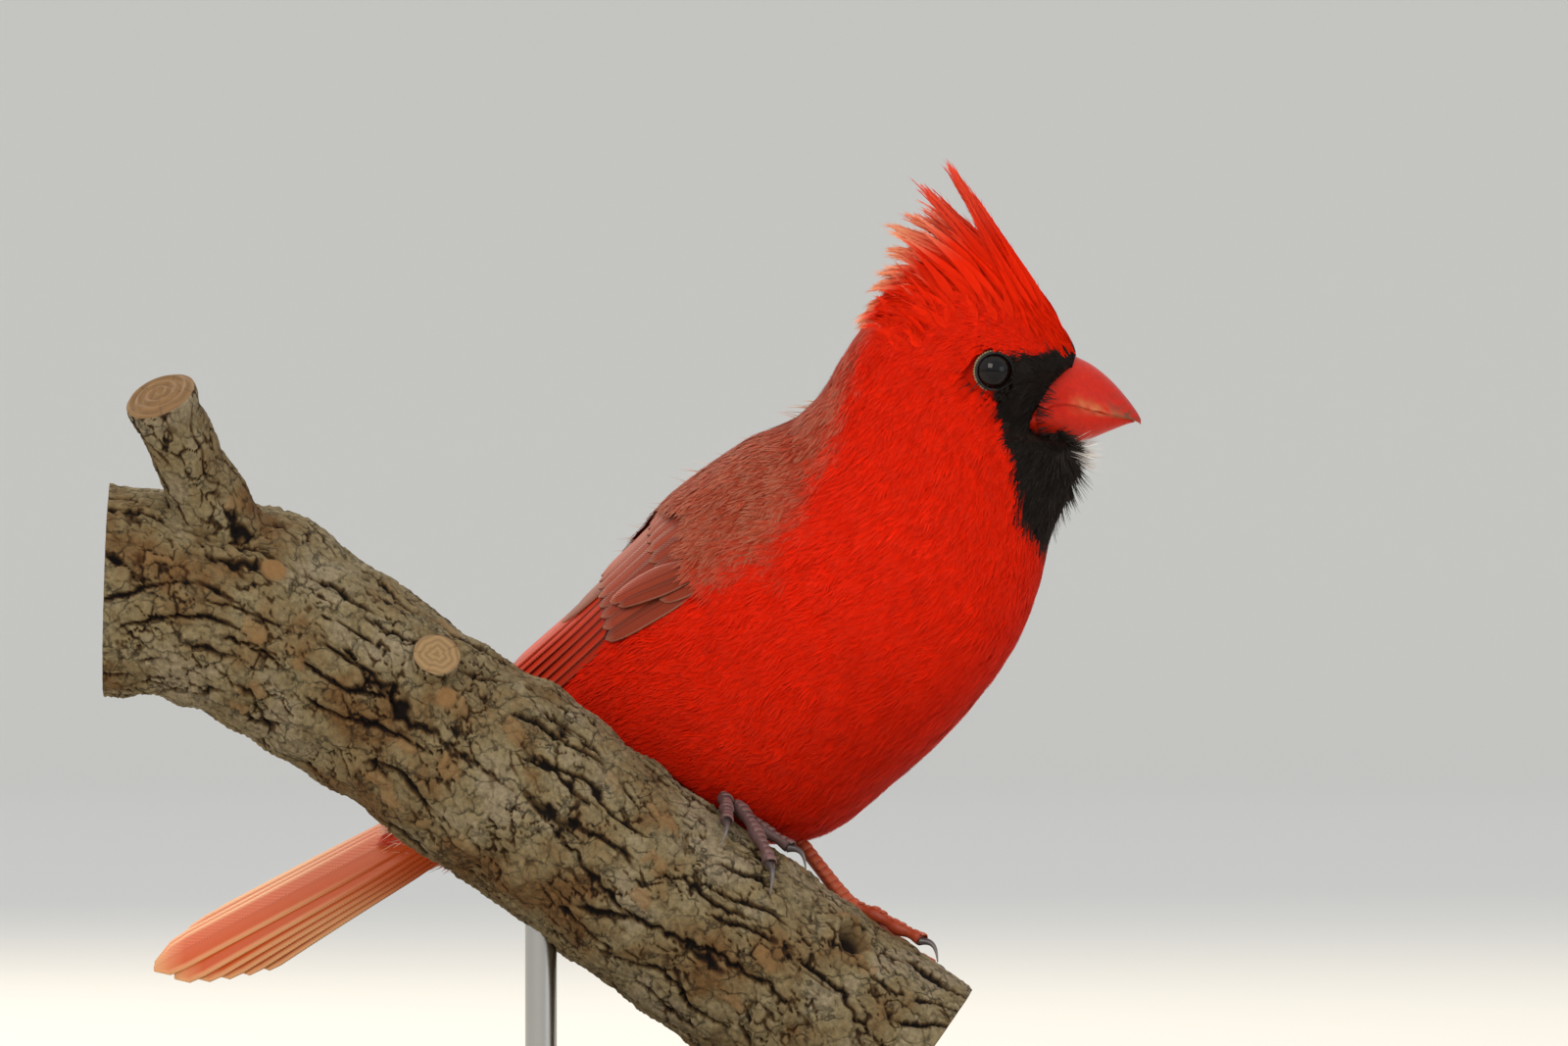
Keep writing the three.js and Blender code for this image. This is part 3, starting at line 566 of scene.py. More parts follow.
# %% Where the mask, the back and the bib lie
MASK_EDGE = np.array([
    [130.0, 84.0], [134.0, 80.5], [136.3, 77.4], [138.7, 74.6], [144.4, 71.9], [148.4, 72.2], [153.2, 71.3],
    [157.0, 70.4], [161.3, 69.4], [166.4, 67.9], [168.5, 68.9], [171.0, 70.2], [174.0, 70.8],
])
EYE = {"x": 68.1, "z": 170.4, "out": 10.7, "radius": 4.2}
SCARLET, BELLY_SHADE, CROWN = linear("#d81c01"), linear("#c41a01"), linear("#d41400")
DUSTY, FRINGE, BLACK = linear("#9c3c26"), linear("#b9755c"), linear("#1b1714")
RUMP, PALE_VENT = linear("#b23a26"), linear("#d88468")


def wave_noise(x, y, z, size):
    """A soft random-looking value from -1 to 1 that changes over about size mm."""
    k = 2 * math.pi / size
    a = np.sin(k * (0.91 * x + 0.32 * z) + 1.3 * np.sin(k * 0.53 * y + 0.7))
    b = np.sin(k * (0.77 * z - 0.43 * x) + 1.7 * np.sin(k * 0.61 * x + 2.1))
    return (a + b + np.sin(k * 1.7 * (x + y - z) + a)) / 3


def markings(t, angle, x, out, z):
    """The plumage colour, and how pale a feather's fringe is, for each place."""
    blotch = wave_noise(x, out, z, 9.0)
    steep = steepness(angle)
    # Lower on the body the red is painted darker: painted shade under the body, over the belly's own slightly
    # duller red.
    lower = smooth(128, 92, z) * smooth(9.5, 6, t)
    colour = blend_colours(np.broadcast_to(SCARLET, (len(t), 3)), BELLY_SHADE, 0.75 * lower)
    colour = blend_colours(colour, CROWN, smooth(10.5, 12.5, t) * smooth(30, 70, steep))
    back_edge = np.interp(t, [0, 3, 4.6, 6.5, 8, 9, 10.5, 12], [30, 34, 30, 16, 34, 46, 60, 90])
    back = smooth(back_edge - 9, back_edge + 9, steep + 5 * blotch) * smooth(11.6, 8.8, t)
    colour = blend_colours(colour, DUSTY, back * mix(0.62, 0.9, smooth(9, 7.5, t)))
    colour = blend_colours(colour, RUMP, smooth(3.4, 1.6, t) * smooth(0, 30, steep))
    vent = smooth(3.2, 1.2, t) * smooth(10, -30, steep)
    colour = blend_colours(colour, PALE_VENT, 0.7 * vent)
    edge = np.interp(z, MASK_EDGE[:, 0], MASK_EDGE[:, 1]) + 0.5 * wave_noise(x, out, z, 4.0)
    top = mix(173.8, 175.4, smooth(76, 82, x)) + 0.4 * wave_noise(x, out, z, 3.0)
    black = smooth(edge - 0.4, edge + 0.4, x) * (t > 9.0) * smooth(top + 0.3, top - 0.3, z)
    colour = blend_colours(colour, BLACK, black)
    fringe = (0.62 * back + 0.35 * vent + 0.04) * (1 - black)
    return colour, fringe, black


# %% [markdown]
# ## Skin
#
# Under its feathers a bird is a smooth body. The skin is one closed surface inside the CAD solids by
# the depth of the coat, so it only shows where feathers part. It sinks further where the folded wing
# rests, as the wing does in life.

# %% Coat depth and the bed under each wing
WRIST_CUT, WING_TIP_CUT, WING_SINK = 6.7, 0.35, -3.2
WING_LOW, WING_HIGH = (16, 12), (86, -26)


def wing_place(t, angle):
    """a along the folded wing, and b from its lower edge up to the back, of a place on the body."""
    a = (WRIST_CUT - t) / (WRIST_CUT - WING_TIP_CUT)
    tilt = steepness(angle)
    reach = np.clip(a, 0, 1.1)
    low = WING_LOW[0] + WING_LOW[1] * reach**2
    high = WING_HIGH[0] + WING_HIGH[1] * reach**3
    return a, (tilt - low) / (high - low)


def coat_depth(t):
    return np.interp(t, [-1, 0, 2, 5, 9, 11, 12.4, 14, 15], [0.7, 0.8, 1.3, 1.8, 1.7, 1.3, 0.9, 0.6, 0.5])


def in_wing(t, angle):
    a, b = wing_place(t, angle)
    return smooth(-0.04, 0.02, a) * smooth(1.04, 0.98, a) * smooth(-0.06, 0.02, b) * smooth(1.08, 1.0, b)


def skin_lift(t, angle):
    bed = np.minimum(-coat_depth(t), WING_SINK - 0.5 + np.interp(t, np.arange(16), CUTS[:, 5]))
    return mix(-coat_depth(t), bed, in_wing(t, angle))


# %% Skin mesh, with its seam under the belly
SKIN_ROWS, SKIN_SIDES = 260, 150
rows = np.linspace(0.05, LAST_CUT - 0.05, SKIN_ROWS)
turns = -math.pi / 2 + full_turn(SKIN_SIDES)
t, angle = (v.ravel() for v in np.meshgrid(rows, turns, indexing="ij"))
lift = skin_lift(t, angle)
skin_points = clear_of_perch(body_point(t, angle, lift), 0.15)
colour, _, _ = markings(t, angle, *body_side_view(t, angle, lift))
faces = grid_faces(SKIN_ROWS, SKIN_SIDES, closed=True)
ends = [skin_points[:SKIN_SIDES].mean(0), skin_points[-SKIN_SIDES:].mean(0)]
first_ring = np.arange(SKIN_SIDES)
last_ring = first_ring + (SKIN_ROWS - 1) * SKIN_SIDES
caps = np.concatenate([
    fan_faces(first_ring, len(skin_points), flip=True),
    fan_faces(last_ring, len(skin_points) + 1),
])
skin_points = np.vstack([skin_points, ends])
# The skin is painted at 0.6 of the plumage's colour: painted shade for where it shows between parted
# feathers.
colour = np.vstack([colour, colour[:1], colour[-1:]]) * 0.6


def outward(points, polygons):
    """The polygons turned so that the closed surface has a positive volume."""
    volume = 0.0
    for p in polygons:
        for k in range(1, p.shape[1] - 1):
            a, b, c = points[p[:, 0]], points[p[:, k]], points[p[:, k + 1]]
            volume += np.einsum("ij,ij->i", a, np.cross(b, c)).sum()
    return [p[:, ::-1] for p in polygons] if volume < 0 else polygons


skin = make_piece("skin", skin_points, outward(skin_points, [faces, caps]), plumage, colour)
belongs(skin, "plumage", "head", "neck", "trunk", "tail_coverts", "thigh_left")

# %% [markdown]
# ## The coat
#
# A contour feather is a soft blade with a fringe of loose barbs. One template holds a blade and its
# barbs. It is laid tens of thousands of times along t and angle, so every feather bends with the body
# under it and none sticks out straight. Hair systems would be lost on export, so these are solid
# mesh, made in one go as arrays. Feathers are small on the face and larger towards the vent.

# %% One feather's template
BLADE = np.array([[0.0, 0.24, 0.0], [0.34, 0.5, 0.8], [0.68, 0.42, 1.0], [0.93, 0.1, 0.92]])
BARBS = 9


def feather_template(rng):
    """Rows of along, across and height, how far out each point is, and its triangles and quads.
    along is in feather lengths, across in feather widths and height in coat depths."""
    points = []
    for at, half, rise in BLADE:
        points += [[at, -half, rise], [at, half, rise]]
    quads = [[2 * k + 1, 2 * k, 2 * k + 2, 2 * k + 3] for k in range(len(BLADE) - 1)]
    triangles = []
    for k in range(BARBS):
        side = (k % 2) * 2 - 1 if k < BARBS - 1 else 0
        root = mix(0.38, 0.86, (k + rng.random() * 0.8) / BARBS)
        half = np.interp(root, BLADE[:, 0], BLADE[:, 1])
        slant = side * mix(0.2, 0.62, rng.random())
        reach = mix(0.24, 0.42, rng.random())
        start = np.array([root, side * half * mix(0.3, 1.0, rng.random())])
        way = np.array([1.0, slant])
        wide = np.array([-slant * 0.4, 1.0]) * 0.05
        for f, width in ((0, 1.0), (0.55, 0.8)):
            spot = start + way * reach * f
            rise = mix(1.0, 1.12, f) + 0.1 * rng.random()
            points += [[*(spot - wide * width), rise], [*(spot + wide * width), rise]]
        points.append([*(start + way * reach), 0.95 + 0.3 * rng.random()])
        first = 2 * len(BLADE) + 5 * k
        quads.append([first + 1, first, first + 2, first + 3])
        triangles.append([first + 3, first + 2, first + 4])
    points = np.array(points)
    return points, np.array(quads), np.array(triangles)


TEMPLATES = [feather_template(np.random.default_rng(seed)) for seed in range(6)]
print("triangles in one feather:", 2 * len(TEMPLATES[0][1]) + len(TEMPLATES[0][2]))


# %% Choosing roots evenly over a surface
def scatter(surface, t_range, angle_range, spacing, keep, rng):
    """Random places t and angle, about spacing(t, angle) mm apart, where keep(t, angle) is true."""
    t_edges = np.linspace(*t_range, 321)
    angle_edges = np.linspace(*angle_range, 241)
    t, angle = (v.ravel() for v in np.meshgrid(t_edges[:-1], angle_edges[:-1], indexing="ij"))
    step_t, step_angle = t_edges[1] - t_edges[0], angle_edges[1] - angle_edges[0]
    here = surface(t, angle, 0)
    along_t, along_angle = surface(t + step_t, angle, 0) - here, surface(t, angle + step_angle, 0) - here
    area = np.linalg.norm(np.cross(along_t, along_angle), axis=1)
    wanted = np.where(keep(t, angle), area / spacing(t, angle) ** 2, 0)
    count = np.floor(wanted + rng.random(len(wanted))).astype(int)
    cell = np.repeat(np.arange(len(wanted)), count)
    return t[cell] + rng.random(len(cell)) * step_t, angle[cell] + rng.random(len(cell)) * step_angle


# %% Laying feathers along the body
def directions(surface, t, angle, rise):
    """Places on a surface, its change by t and by angle, and the ways back, outwards and sideways."""
    step = 0.02
    here = surface(t, angle, rise)
    by_t = (surface(t + step, angle, rise) - here) / step
    by_angle = (surface(t, angle + step, rise) - here) / step
    back = -unit_length(by_t)
    normal = unit_length(np.cross(by_t, by_angle))
    return here, by_t, by_angle, back, normal, np.cross(normal, back)


def lay_feathers(surface, t, angle, length, width, depth, swirl, rng, gap=0.1):
    """Points and polygons of one feather at each root, and the template that each one took."""
    _, by_t, by_angle, back, normal, side = directions(surface, t, angle, 0)
    way = np.cos(swirl)[:, None] * back + np.sin(swirl)[:, None] * side
    across = np.cross(normal, way)
    gram = np.stack([by_t, by_angle], 1) @ np.stack([by_t, by_angle], 2)

    def to_surface(vector):
        right = np.stack([(by_t * vector).sum(1), (by_angle * vector).sum(1)], 1)
        return np.linalg.solve(gram, right[..., None])[..., 0]

    per_length, per_width = to_surface(way), to_surface(across)
    choice = rng.integers(len(TEMPLATES), size=len(t))
    shapes = np.stack([template[0] for template in TEMPLATES])[choice]
    ahead = shapes[..., 0] * length[:, None]
    aside = shapes[..., 1] * width[:, None]
    curl = rng.normal(0, 0.1, len(t))[:, None] * shapes[..., 0] * ahead
    aside = aside + curl
    grid = ahead[..., None] * per_length[:, None] + aside[..., None] * per_width[:, None]
    rise = shapes[..., 2] * depth[:, None] * (1 + 0.07 * rng.normal(size=len(t)))[:, None]
    points = surface(t[:, None] + grid[..., 0], angle[:, None] + grid[..., 1], rise)
    points = clear_of_perch(points, gap)
    offset = (np.arange(len(t)) * shapes.shape[1])[:, None, None]
    polygons = [(faces[None] + offset).reshape(-1, faces.shape[1]) for faces in TEMPLATES[0][1:]]
    return points, polygons, shapes


BAKE_PATCH = 0.0024


def bake_places(t, angle, shapes):
    """A patch about 0.003 across for each feather, at its root's place on the body unrolled."""
    root = np.stack([np.mod(angle / (2 * math.pi), 1), (t + 1) / (LAST_CUT + 2)], -1)
    patch = (shapes[..., :2] - [0.5, 0.0]) * BAKE_PATCH
    return (0.01 + 0.98 * root)[:, None] + patch[..., ::-1]


def coat_piece(name, surface, t, angle, length, width, depth, swirl, rng, look, slot="plumage"):
    """One mesh of feathers whose colours come from look(t, angle)."""
    points, polygons, shapes = lay_feathers(surface, t, angle, length, width, depth, swirl, rng)
    pace = np.linalg.norm(surface(t + 0.02, angle, 0) - surface(t, angle, 0), axis=1) / 0.02
    colour, fringe, black = look(t - 0.6 * length / pace, angle)
    shade = np.exp(rng.normal(0, 0.07, len(t)))[:, None] * mix(0.96, 1.04, rng.random((len(t), 3)))
    colour = colour * shade * mix(1.0, 0.7 + 1.1 * rng.random(len(t)), black)[:, None]
    reach = np.clip(shapes[..., 0], 0, 1)[..., None]
    # Each feather is painted darker towards its root: painted shade where the feathers above cover it.
    tone = colour[:, None] * mix(0.55, 1.08, smooth(0.0, 0.7, reach))
    pale = smooth(0.62, 1.0, reach) * fringe[:, None, None]
    paint = np.clip(tone + (FRINGE - tone) * pale, 0, 1)
    count = points.shape[0] * points.shape[1]
    bake = bake_places(t, angle, shapes).reshape(count, 2)
    piece = make_piece(name, points.reshape(count, 3), polygons, plumage, paint.reshape(count, 3), bake)
    return belongs(piece, slot)


# %% Where body feathers grow, and how big they are
rng = np.random.default_rng(7)


def skin_surface(t, angle, rise):
    """A point of the body: rise is how far it stands off the skin."""
    return body_point(t, angle, -coat_depth(t) + rise)


def feather_size(t, angle):
    """Feather length in mm."""
    steep = steepness(angle)
    places = [0, 1, 2, 5, 8, 10, 11.5, 12.6, 13.6, 15]
    size = np.interp(t, places, [3.6, 6, 8, 7.5, 6.6, 5.4, 4, 2.8, 1.9, 1.3])
    return size * mix(1.0, 0.82, smooth(40, 80, steep))


def feather_spacing(t, angle):
    return 0.1 * feather_size(t, angle) + 0.17


def eye_distance(t, angle):
    x, out, z = body_side_view(t, angle, 0)
    return np.hypot(np.hypot(x - EYE["x"], z - EYE["z"]), 2.5 * np.maximum(4 - np.abs(out), 0))


def on_open_body(t, angle):
    a, b = wing_place(t, angle)
    under_wing = (a > -0.02) & (a < 1.04) & (b > 0.1) & (b < 0.97)
    x, _, z = body_side_view(t, angle, 0)
    bill_base = np.interp(z, BILL_EDGE_LINE[:, 0], BILL_EDGE_LINE[:, 1])
    return ~under_wing & (eye_distance(t, angle) > EYE["radius"]) & (x < bill_base + 0.3)


def body_look(t, angle):
    return markings(t, angle, *body_side_view(t, angle, 0))


# %% Body coat, cut into lengths so that no piece is too heavy to export
BANDS = {"tail_coverts": (0.12, 2.2), "rump": (2.2, 3.9), "belly": (3.9, 5.6), "breast": (5.6, 7.4),
         "shoulder": (7.4, 9.3), "neck": (9.3, 11.1), "cheek": (11.1, 12.6), "face": (12.6, 14.95)}
for name, t_range in BANDS.items():
    turn_range = (-math.pi, math.pi)
    t, angle = scatter(skin_surface, t_range, turn_range, feather_spacing, on_open_body, rng)
    length = feather_size(t, angle) * mix(0.8, 1.2, rng.random(len(t)))
    x, out, z = body_side_view(t, angle, 0)
    ahead_of_eye = (x > EYE["x"] - 1) & (eye_distance(t, angle) < 9)
    length = np.where(ahead_of_eye, np.minimum(length, np.maximum(eye_distance(t, angle) - 3.6, 1.0)), length)
    width = length * mix(0.3, 0.42, rng.random(len(t)))
    rising = smooth(11.2, 12.6, t) * smooth(0.25, 0.8, np.sin(angle)) * smooth(15.0, 14.2, t)
    swirl = rng.normal(0, 0.12, len(t)) - 0.85 * rising * np.clip(np.cos(angle) * 3, -1, 1)
    coat_piece(f"coat_{name}", skin_surface, t, angle, length, width, coat_depth(t), swirl, rng, body_look)

# %% [markdown]
# ## Folded wings
#
# A folded wing stacks its feathers like roof tiles: long primaries lowest, secondaries over them, and
# rows of coverts over those, each row shorter than the last. Each blade is a thin closed plate in the
# wing's own coordinates, a from wrist to tip and b from the lower edge to the back. Only the edge of
# each blade shows, so its colours run across it: a bright outer edge, a dark middle, a tan fringe.


# %% A point of the wing, and a thin plate between two sheets of points
def wing_point(side, a, b, lift):
    tilt = mix(WING_LOW[0] + WING_LOW[1] * a**2, WING_HIGH[0] + WING_HIGH[1] * a**3, b)
    t = mix(WRIST_CUT, WING_TIP_CUT, a)
    x, out, z = body_side_view(t, np.radians(tilt), lift, 1.0)
    return place(x, side * out, z)


def plate(upper, under, start):
    """The polygons of a closed plate between two grids of points, upper first and then under."""
    rows, columns = upper.shape[:2]
    count = rows * columns
    top = grid_faces(rows, columns, start=start)
    low = grid_faces(rows, columns, start=start + count)[:, ::-1]
    number = np.arange(count).reshape(rows, columns)
    rim = np.concatenate([number[0], number[1:, -1], number[-1, -2::-1], number[-2:0:-1, 0]])
    after = np.roll(rim, -1)
    wall = start + np.stack([after, rim, rim + count, after + count], -1)
    points = np.concatenate([upper.reshape(-1, 3), under.reshape(-1, 3)])
    return points, np.concatenate([top, low, wall])


# %% One blade in any pair of coordinates
ACROSS = np.array([-1, -0.86, -0.68, -0.5, -0.32, -0.16, -0.05, 0.05, 0.16, 0.32, 0.5, 0.68, 0.86, 1])
BLADE_ROWS = 22


def blade_outline(f, blunt_from, narrowing):
    """The half width of a blade from root to tip, as a share of its widest."""
    tip = np.sqrt(np.clip(1 - np.clip((f - blunt_from) / (1.001 - blunt_from), 0, 1) ** 2.4, 0.0025, 1))
    return mix(narrowing, 1, smooth(0, 0.45, f)) * tip


def blade(point_at, half, length, shaft=0.0, thickness=0.3, blunt_from=0.72, narrowing=0.6, camber=0.3):
    """A blade's upper and under points, and their place across, place along and place on the ruling.
    point_at(f, sideways_mm, lift) gives a point of the world."""
    f = np.linspace(0, 1, BLADE_ROWS) ** 0.92
    f, v = np.meshgrid(f, ACROSS, indexing="ij")
    outline = blade_outline(f, blunt_from, narrowing)
    arch = camber * (1 - v**2) * np.clip(outline * 1.4, 0, 1)
    rise = arch + 0.12 * np.exp(-(((v - shaft) / 0.07) ** 2)) * (1 - f)
    sideways = v * half * outline
    upper = point_at(f, sideways, rise)
    under = point_at(f, sideways, rise - thickness)
    slant = f * length - np.abs(sideways - shaft * half) * 1.3
    return upper, under, *(np.tile(values.ravel(), 2) for values in (v, f, slant))


def join_blades(name, blades, colours, slot, node):
    """One piece from blades and the colour function of each, with the barbs' ruling as an attribute."""
    points, polygons, paints, rulings, count = [], [], [], [], 0
    for (upper, under, v, f, slant), colour in zip(blades, colours):
        own, faces = plate(upper, under, count)
        points.append(own)
        polygons.append(faces)
        paints.append(colour(v, f))
        rulings.append(slant)
        count += len(own)
    points = clear_of_perch(np.vstack(points), 0.1)
    polygons = outward(points, [np.concatenate(polygons)])
    piece = make_piece(name, points, polygons, vanes, np.clip(np.vstack(paints), 0, 1))
    ruling = piece.data.attributes.new("barb", "FLOAT", "POINT")
    ruling.data.foreach_set("value", np.concatenate(rulings).astype(np.float32))
    return belongs(piece, slot, node)


# %% Wing feather groups, from the lower edge of the wing up to the back
OVERLAP = 0.11


def wing_group(count, root, tip, half, top, blunt_from):
    """Blades at even steps. root and tip each hold a and b of the first and the last blade."""
    blades = []
    for i in range(count):
        f = i / max(count - 1, 1)
        blades.append({
            "root": [mix(first, last, f) for first, last in zip(*root)],
            "tip": [mix(first, last, f) for first, last in zip(*tip)],
            "half": mix(*half, f), "top": top + OVERLAP * i, "blunt_from": blunt_from,
        })
    return blades


WING_GROUPS = {
    "primaries": wing_group(6, ((0.3, 0.06), (0.3, 0.34)), ((0.84, 0.1), (1.0, 0.6)), (3.4, 3.0),
                            WING_SINK + 0.7, blunt_from=0.86),
    "secondaries": wing_group(8, ((0.26, 0.2), (0.26, 0.8)), ((0.85, 0.32), (0.68, 0.84)), (3.4, 3.8),
                              WING_SINK + 1.6, blunt_from=0.86),
    "tertials": wing_group(3, ((0.26, 0.66), (0.26, 0.9)), ((0.57, 0.74), (0.5, 0.94)), (4.0, 4.6),
                           WING_SINK + 2.6, blunt_from=0.6),
    "greater": wing_group(10, ((0.16, 0.08), (0.12, 0.9)), ((0.45, 0.14), (0.47, 0.96)), (2.6, 3.1),
                          WING_SINK + 3.0, blunt_from=0.62),
    "median": wing_group(11, ((0.06, 0.06), (0.02, 0.95)), ((0.3, 0.12), (0.34, 0.98)), (2.5, 2.9),
                         WING_SINK + 3.6, blunt_from=0.56),
    "alula": wing_group(2, ((0.2, 0.1), (0.2, 0.16)), ((0.4, 0.24), (0.42, 0.31)), (1.8, 2.2),
                        WING_SINK + 4.4, blunt_from=0.4),
}
INNER, OUTER_EDGE, TAN_EDGE = linear("#38170f"), linear("#d0300e"), linear("#b8806a")
TERTIAL, COVERT, DARK_SHAFT = linear("#8a402a"), linear("#9c402a"), linear("#2c1410")
COVERT_OVERLAP_SHADE = linear("#743626")


def flight_colours(group, index, count):
    """The colour across and along a blade. v = -1 is its lower, outer edge, and the next blade above
    covers it from about the middle, so from where that blade's edge lies it is painted dark: painted
    shade under the overlap, over the flight feathers' own dusky inner web."""
    highest = index / max(count - 1, 1)
    if group in ("primaries", "secondaries"):
        middle, covered_web_and_shade, covered_from, fringed = OUTER_EDGE, INNER, -0.62, 0.3
        depth = 0.9 * mix(1.0, 0.35, smooth(0.6, 1.0, highest))
    else:
        middle = TERTIAL if group == "tertials" else COVERT
        covered_web_and_shade, covered_from, fringed = COVERT_OVERLAP_SHADE, -0.05, 0.8
        depth = 0.75 * mix(1.0, 0.1, smooth(0.3, 0.8, highest))
    tone = 0.9 + 0.2 * ((index * 37) % 10) / 10

    def colour(v, f):
        base = np.broadcast_to(middle, (len(v), 3)) * mix(0.8, 1.08, f)[:, None]
        fringe = fringed * np.maximum(smooth(-0.86, -0.97, v), smooth(0.93, 1.0, f))
        base = blend_colours(base, TAN_EDGE, fringe)
        # Painted shade under the next blade's edge, over the flight feathers' own dusky inner web.
        base = blend_colours(base, covered_web_and_shade, depth * smooth(covered_from, covered_from + 0.16, v))
        shaft = np.exp(-(((v - covered_from + 0.1) / 0.05) ** 2)) * 0.35
        return blend_colours(base, DARK_SHAFT, shaft) * tone

    return colour


# Past this share of the way up, blades are squeezed so that none crosses the ridge of the back.
NEAR_RIDGE = 0.9


def wing_blade(side, spec):
    root, tip = spec["root"], spec["tip"]
    here = wing_point(side, *(np.array(v) for v in root), 0.0)
    length = float(np.linalg.norm(wing_point(side, *(np.array(v) for v in tip), 0.0) - here))

    def point_at(f, sideways, lift):
        a, b = mix(root[0], tip[0], f), mix(root[1], tip[1], f)
        step = 0.01
        rise = wing_point(side, a, b + step, 0.0) - wing_point(side, a, b - step, 0.0)
        scale = np.linalg.norm(rise, axis=-1) / (2 * step)
        across = b + sideways / scale
        past = np.maximum(across - NEAR_RIDGE, 0)
        across = np.minimum(across, NEAR_RIDGE) + (1 - NEAR_RIDGE) * np.tanh(past / (1 - NEAR_RIDGE))
        fuller = (3.6 + 3.6 * smooth(0.45, 0.95, a)) * smooth(0.15, 0.8, b) * smooth(0.3, 0.7, a)
        fuller = fuller * (1 - 0.7 * smooth(0.88, 1.08, across))
        return wing_point(side, a, across, spec["top"] + lift + fuller)

    return blade(point_at, spec["half"], length, shaft=-0.1, blunt_from=spec["blunt_from"])


# %% Wings
WING_PIECES = {"primaries": ("primaries",), "secondaries": ("secondaries", "tertials"),
               "coverts": ("greater", "median", "alula")}
SIDES = {"right": 1, "left": -1}
for side_name, side in SIDES.items():
    for node, groups in WING_PIECES.items():
        blades, colours = [], []
        for group in groups:
            for i, spec in enumerate(WING_GROUPS[group]):
                blades.append(wing_blade(side, spec))
                colours.append(flight_colours(group, i, len(WING_GROUPS[group])))
        slot = "back_plumage" if node == "coverts" else "flight_feathers"
        join_blades(f"wing_{side_name}_{node}_vanes", blades, colours, slot, f"wing_{side_name}_{node}")


# %% The small coverts of the shoulder, as coat
def shoulder_surface(t, angle, rise):
    a, b = wing_place(t, angle)
    over_wing = 0.4 + 0.5 * smooth(0.2, 0.6, b) - 0.9 * smooth(0.75, 1.05, b)
    level = mix(-1.7, over_wing, smooth(-0.16, 0.04, a) * smooth(-0.12, 0.15, b))
    return body_point(t, angle, level + rise, 1.0)


def on_shoulder(t, angle):
    a, b = wing_place(t, angle)
    reach = 0.15 + 0.07 * smooth(0.3, 0.7, b) + 0.14 * smooth(0.8, 1.0, b) + 0.02 * np.sin(9 * b)
    upto = mix(1.3, 1.0, smooth(0.0, 0.15, a))
    return (a > -0.15) & (a < reach) & (b > -0.1) & (b < upto)


def shoulder_look(t, angle):
    a, b = wing_place(t, angle)
    colour, fringe, black = body_look(t, angle)
    dusty = smooth(-0.08, 0.16, b) * smooth(-0.16, 0.0, a)
    dusk = mix(0.86, 0.62, smooth(0.5, 0.1, b))
    return blend_colours(colour, DUSTY, dusk * dusty), np.maximum(fringe, 0.5 * dusty), black


def shoulder_spacing(t, angle):
    return np.full(len(t), 0.84)


for side_name, side in SIDES.items():
    turn_range = (0.05, 1.7) if side > 0 else (math.pi - 1.7, math.pi - 0.05)
    t, angle = scatter(shoulder_surface, (3.0, 7.7), turn_range, shoulder_spacing, on_shoulder, rng)
    length = mix(5.0, 7.6, rng.random(len(t)))
    depth = np.full(len(t), 1.5)
    swirl = rng.normal(0, 0.16, len(t))
    coat_piece(
        f"coat_shoulder_{side_name}", shoulder_surface, t, angle, length, length * 0.36, depth, swirl, rng,
        shoulder_look, "back_plumage",
    )

# %% [markdown]
# ## Tail
#
# Twelve tail feathers fan from one root, the middle pair longest and on top. The fan is rolled, so
# from the bird's right its upper side shows. Each blade is flat and blunt with a darker shaft, a warm
# red vane and a paler rim where light comes through its edge.

# %% Tail fan
TAIL_ROOT, TAIL_TIP = np.array([-2.4, 105.0]), np.array([-93.2, 57.2])
TAIL_ROLL, TAIL_STEP, TAIL_SPREAD = math.radians(42), 4.2, {"right": 5.2, "left": 2.6}
TAIL_WAY = TAIL_TIP - TAIL_ROOT
TAIL_LENGTH = np.linalg.norm(TAIL_WAY)
TAIL_WAY = TAIL_WAY / TAIL_LENGTH
TAIL_RED, TAIL_RIM, TAIL_SHAFT = linear("#cc4e12"), linear("#f4c088"), linear("#a03a10")


def tail_point(distance, q, h):
    rise = h * math.cos(TAIL_ROLL) - q * math.sin(TAIL_ROLL)
    out = q * math.cos(TAIL_ROLL) + h * math.sin(TAIL_ROLL)
    x = TAIL_ROOT[0] + TAIL_WAY[0] * distance + TAIL_WAY[1] * rise
    return place(x, out, TAIL_ROOT[1] + TAIL_WAY[1] * distance - TAIL_WAY[0] * rise)


def tail_colour(index):
    def colour(v, f):
        base = np.broadcast_to(TAIL_RED, (len(v), 3)) * (1.04 - 0.05 * index)
        rim = np.maximum(smooth(0.66, 1.0, np.abs(v)), smooth(0.93, 1.0, f)) * smooth(0.3, 0.7, f)
        base = blend_colours(base, TAIL_RIM, 0.75 * rim)
        return blend_colours(base, TAIL_SHAFT, np.exp(-((v / 0.04) ** 2)) * 0.7)

    return colour


blades, colours = [], []
for side_name, side in SIDES.items():
    for i in range(6):
        length = TAIL_LENGTH - TAIL_STEP * i
        level = -0.33 * i + 0.1 * side

        def point_at(f, sideways, lift, side=side, side_name=side_name, i=i, length=length, level=level):
            distance = mix(22.0, length, f)
            centre = side * (0.8 + TAIL_SPREAD[side_name] * i**0.6 * (distance / TAIL_LENGTH) ** 0.8)
            droop = -0.9 * f**3 * (0.4 + 0.2 * i)
            return tail_point(distance, centre + sideways, level + lift + droop)

        blades.append(blade(point_at, 5.3, length - 22, blunt_from=0.9, narrowing=0.45))
        colours.append(tail_colour(i))
join_blades("tail_vanes", blades, colours, "flight_feathers", "tail")
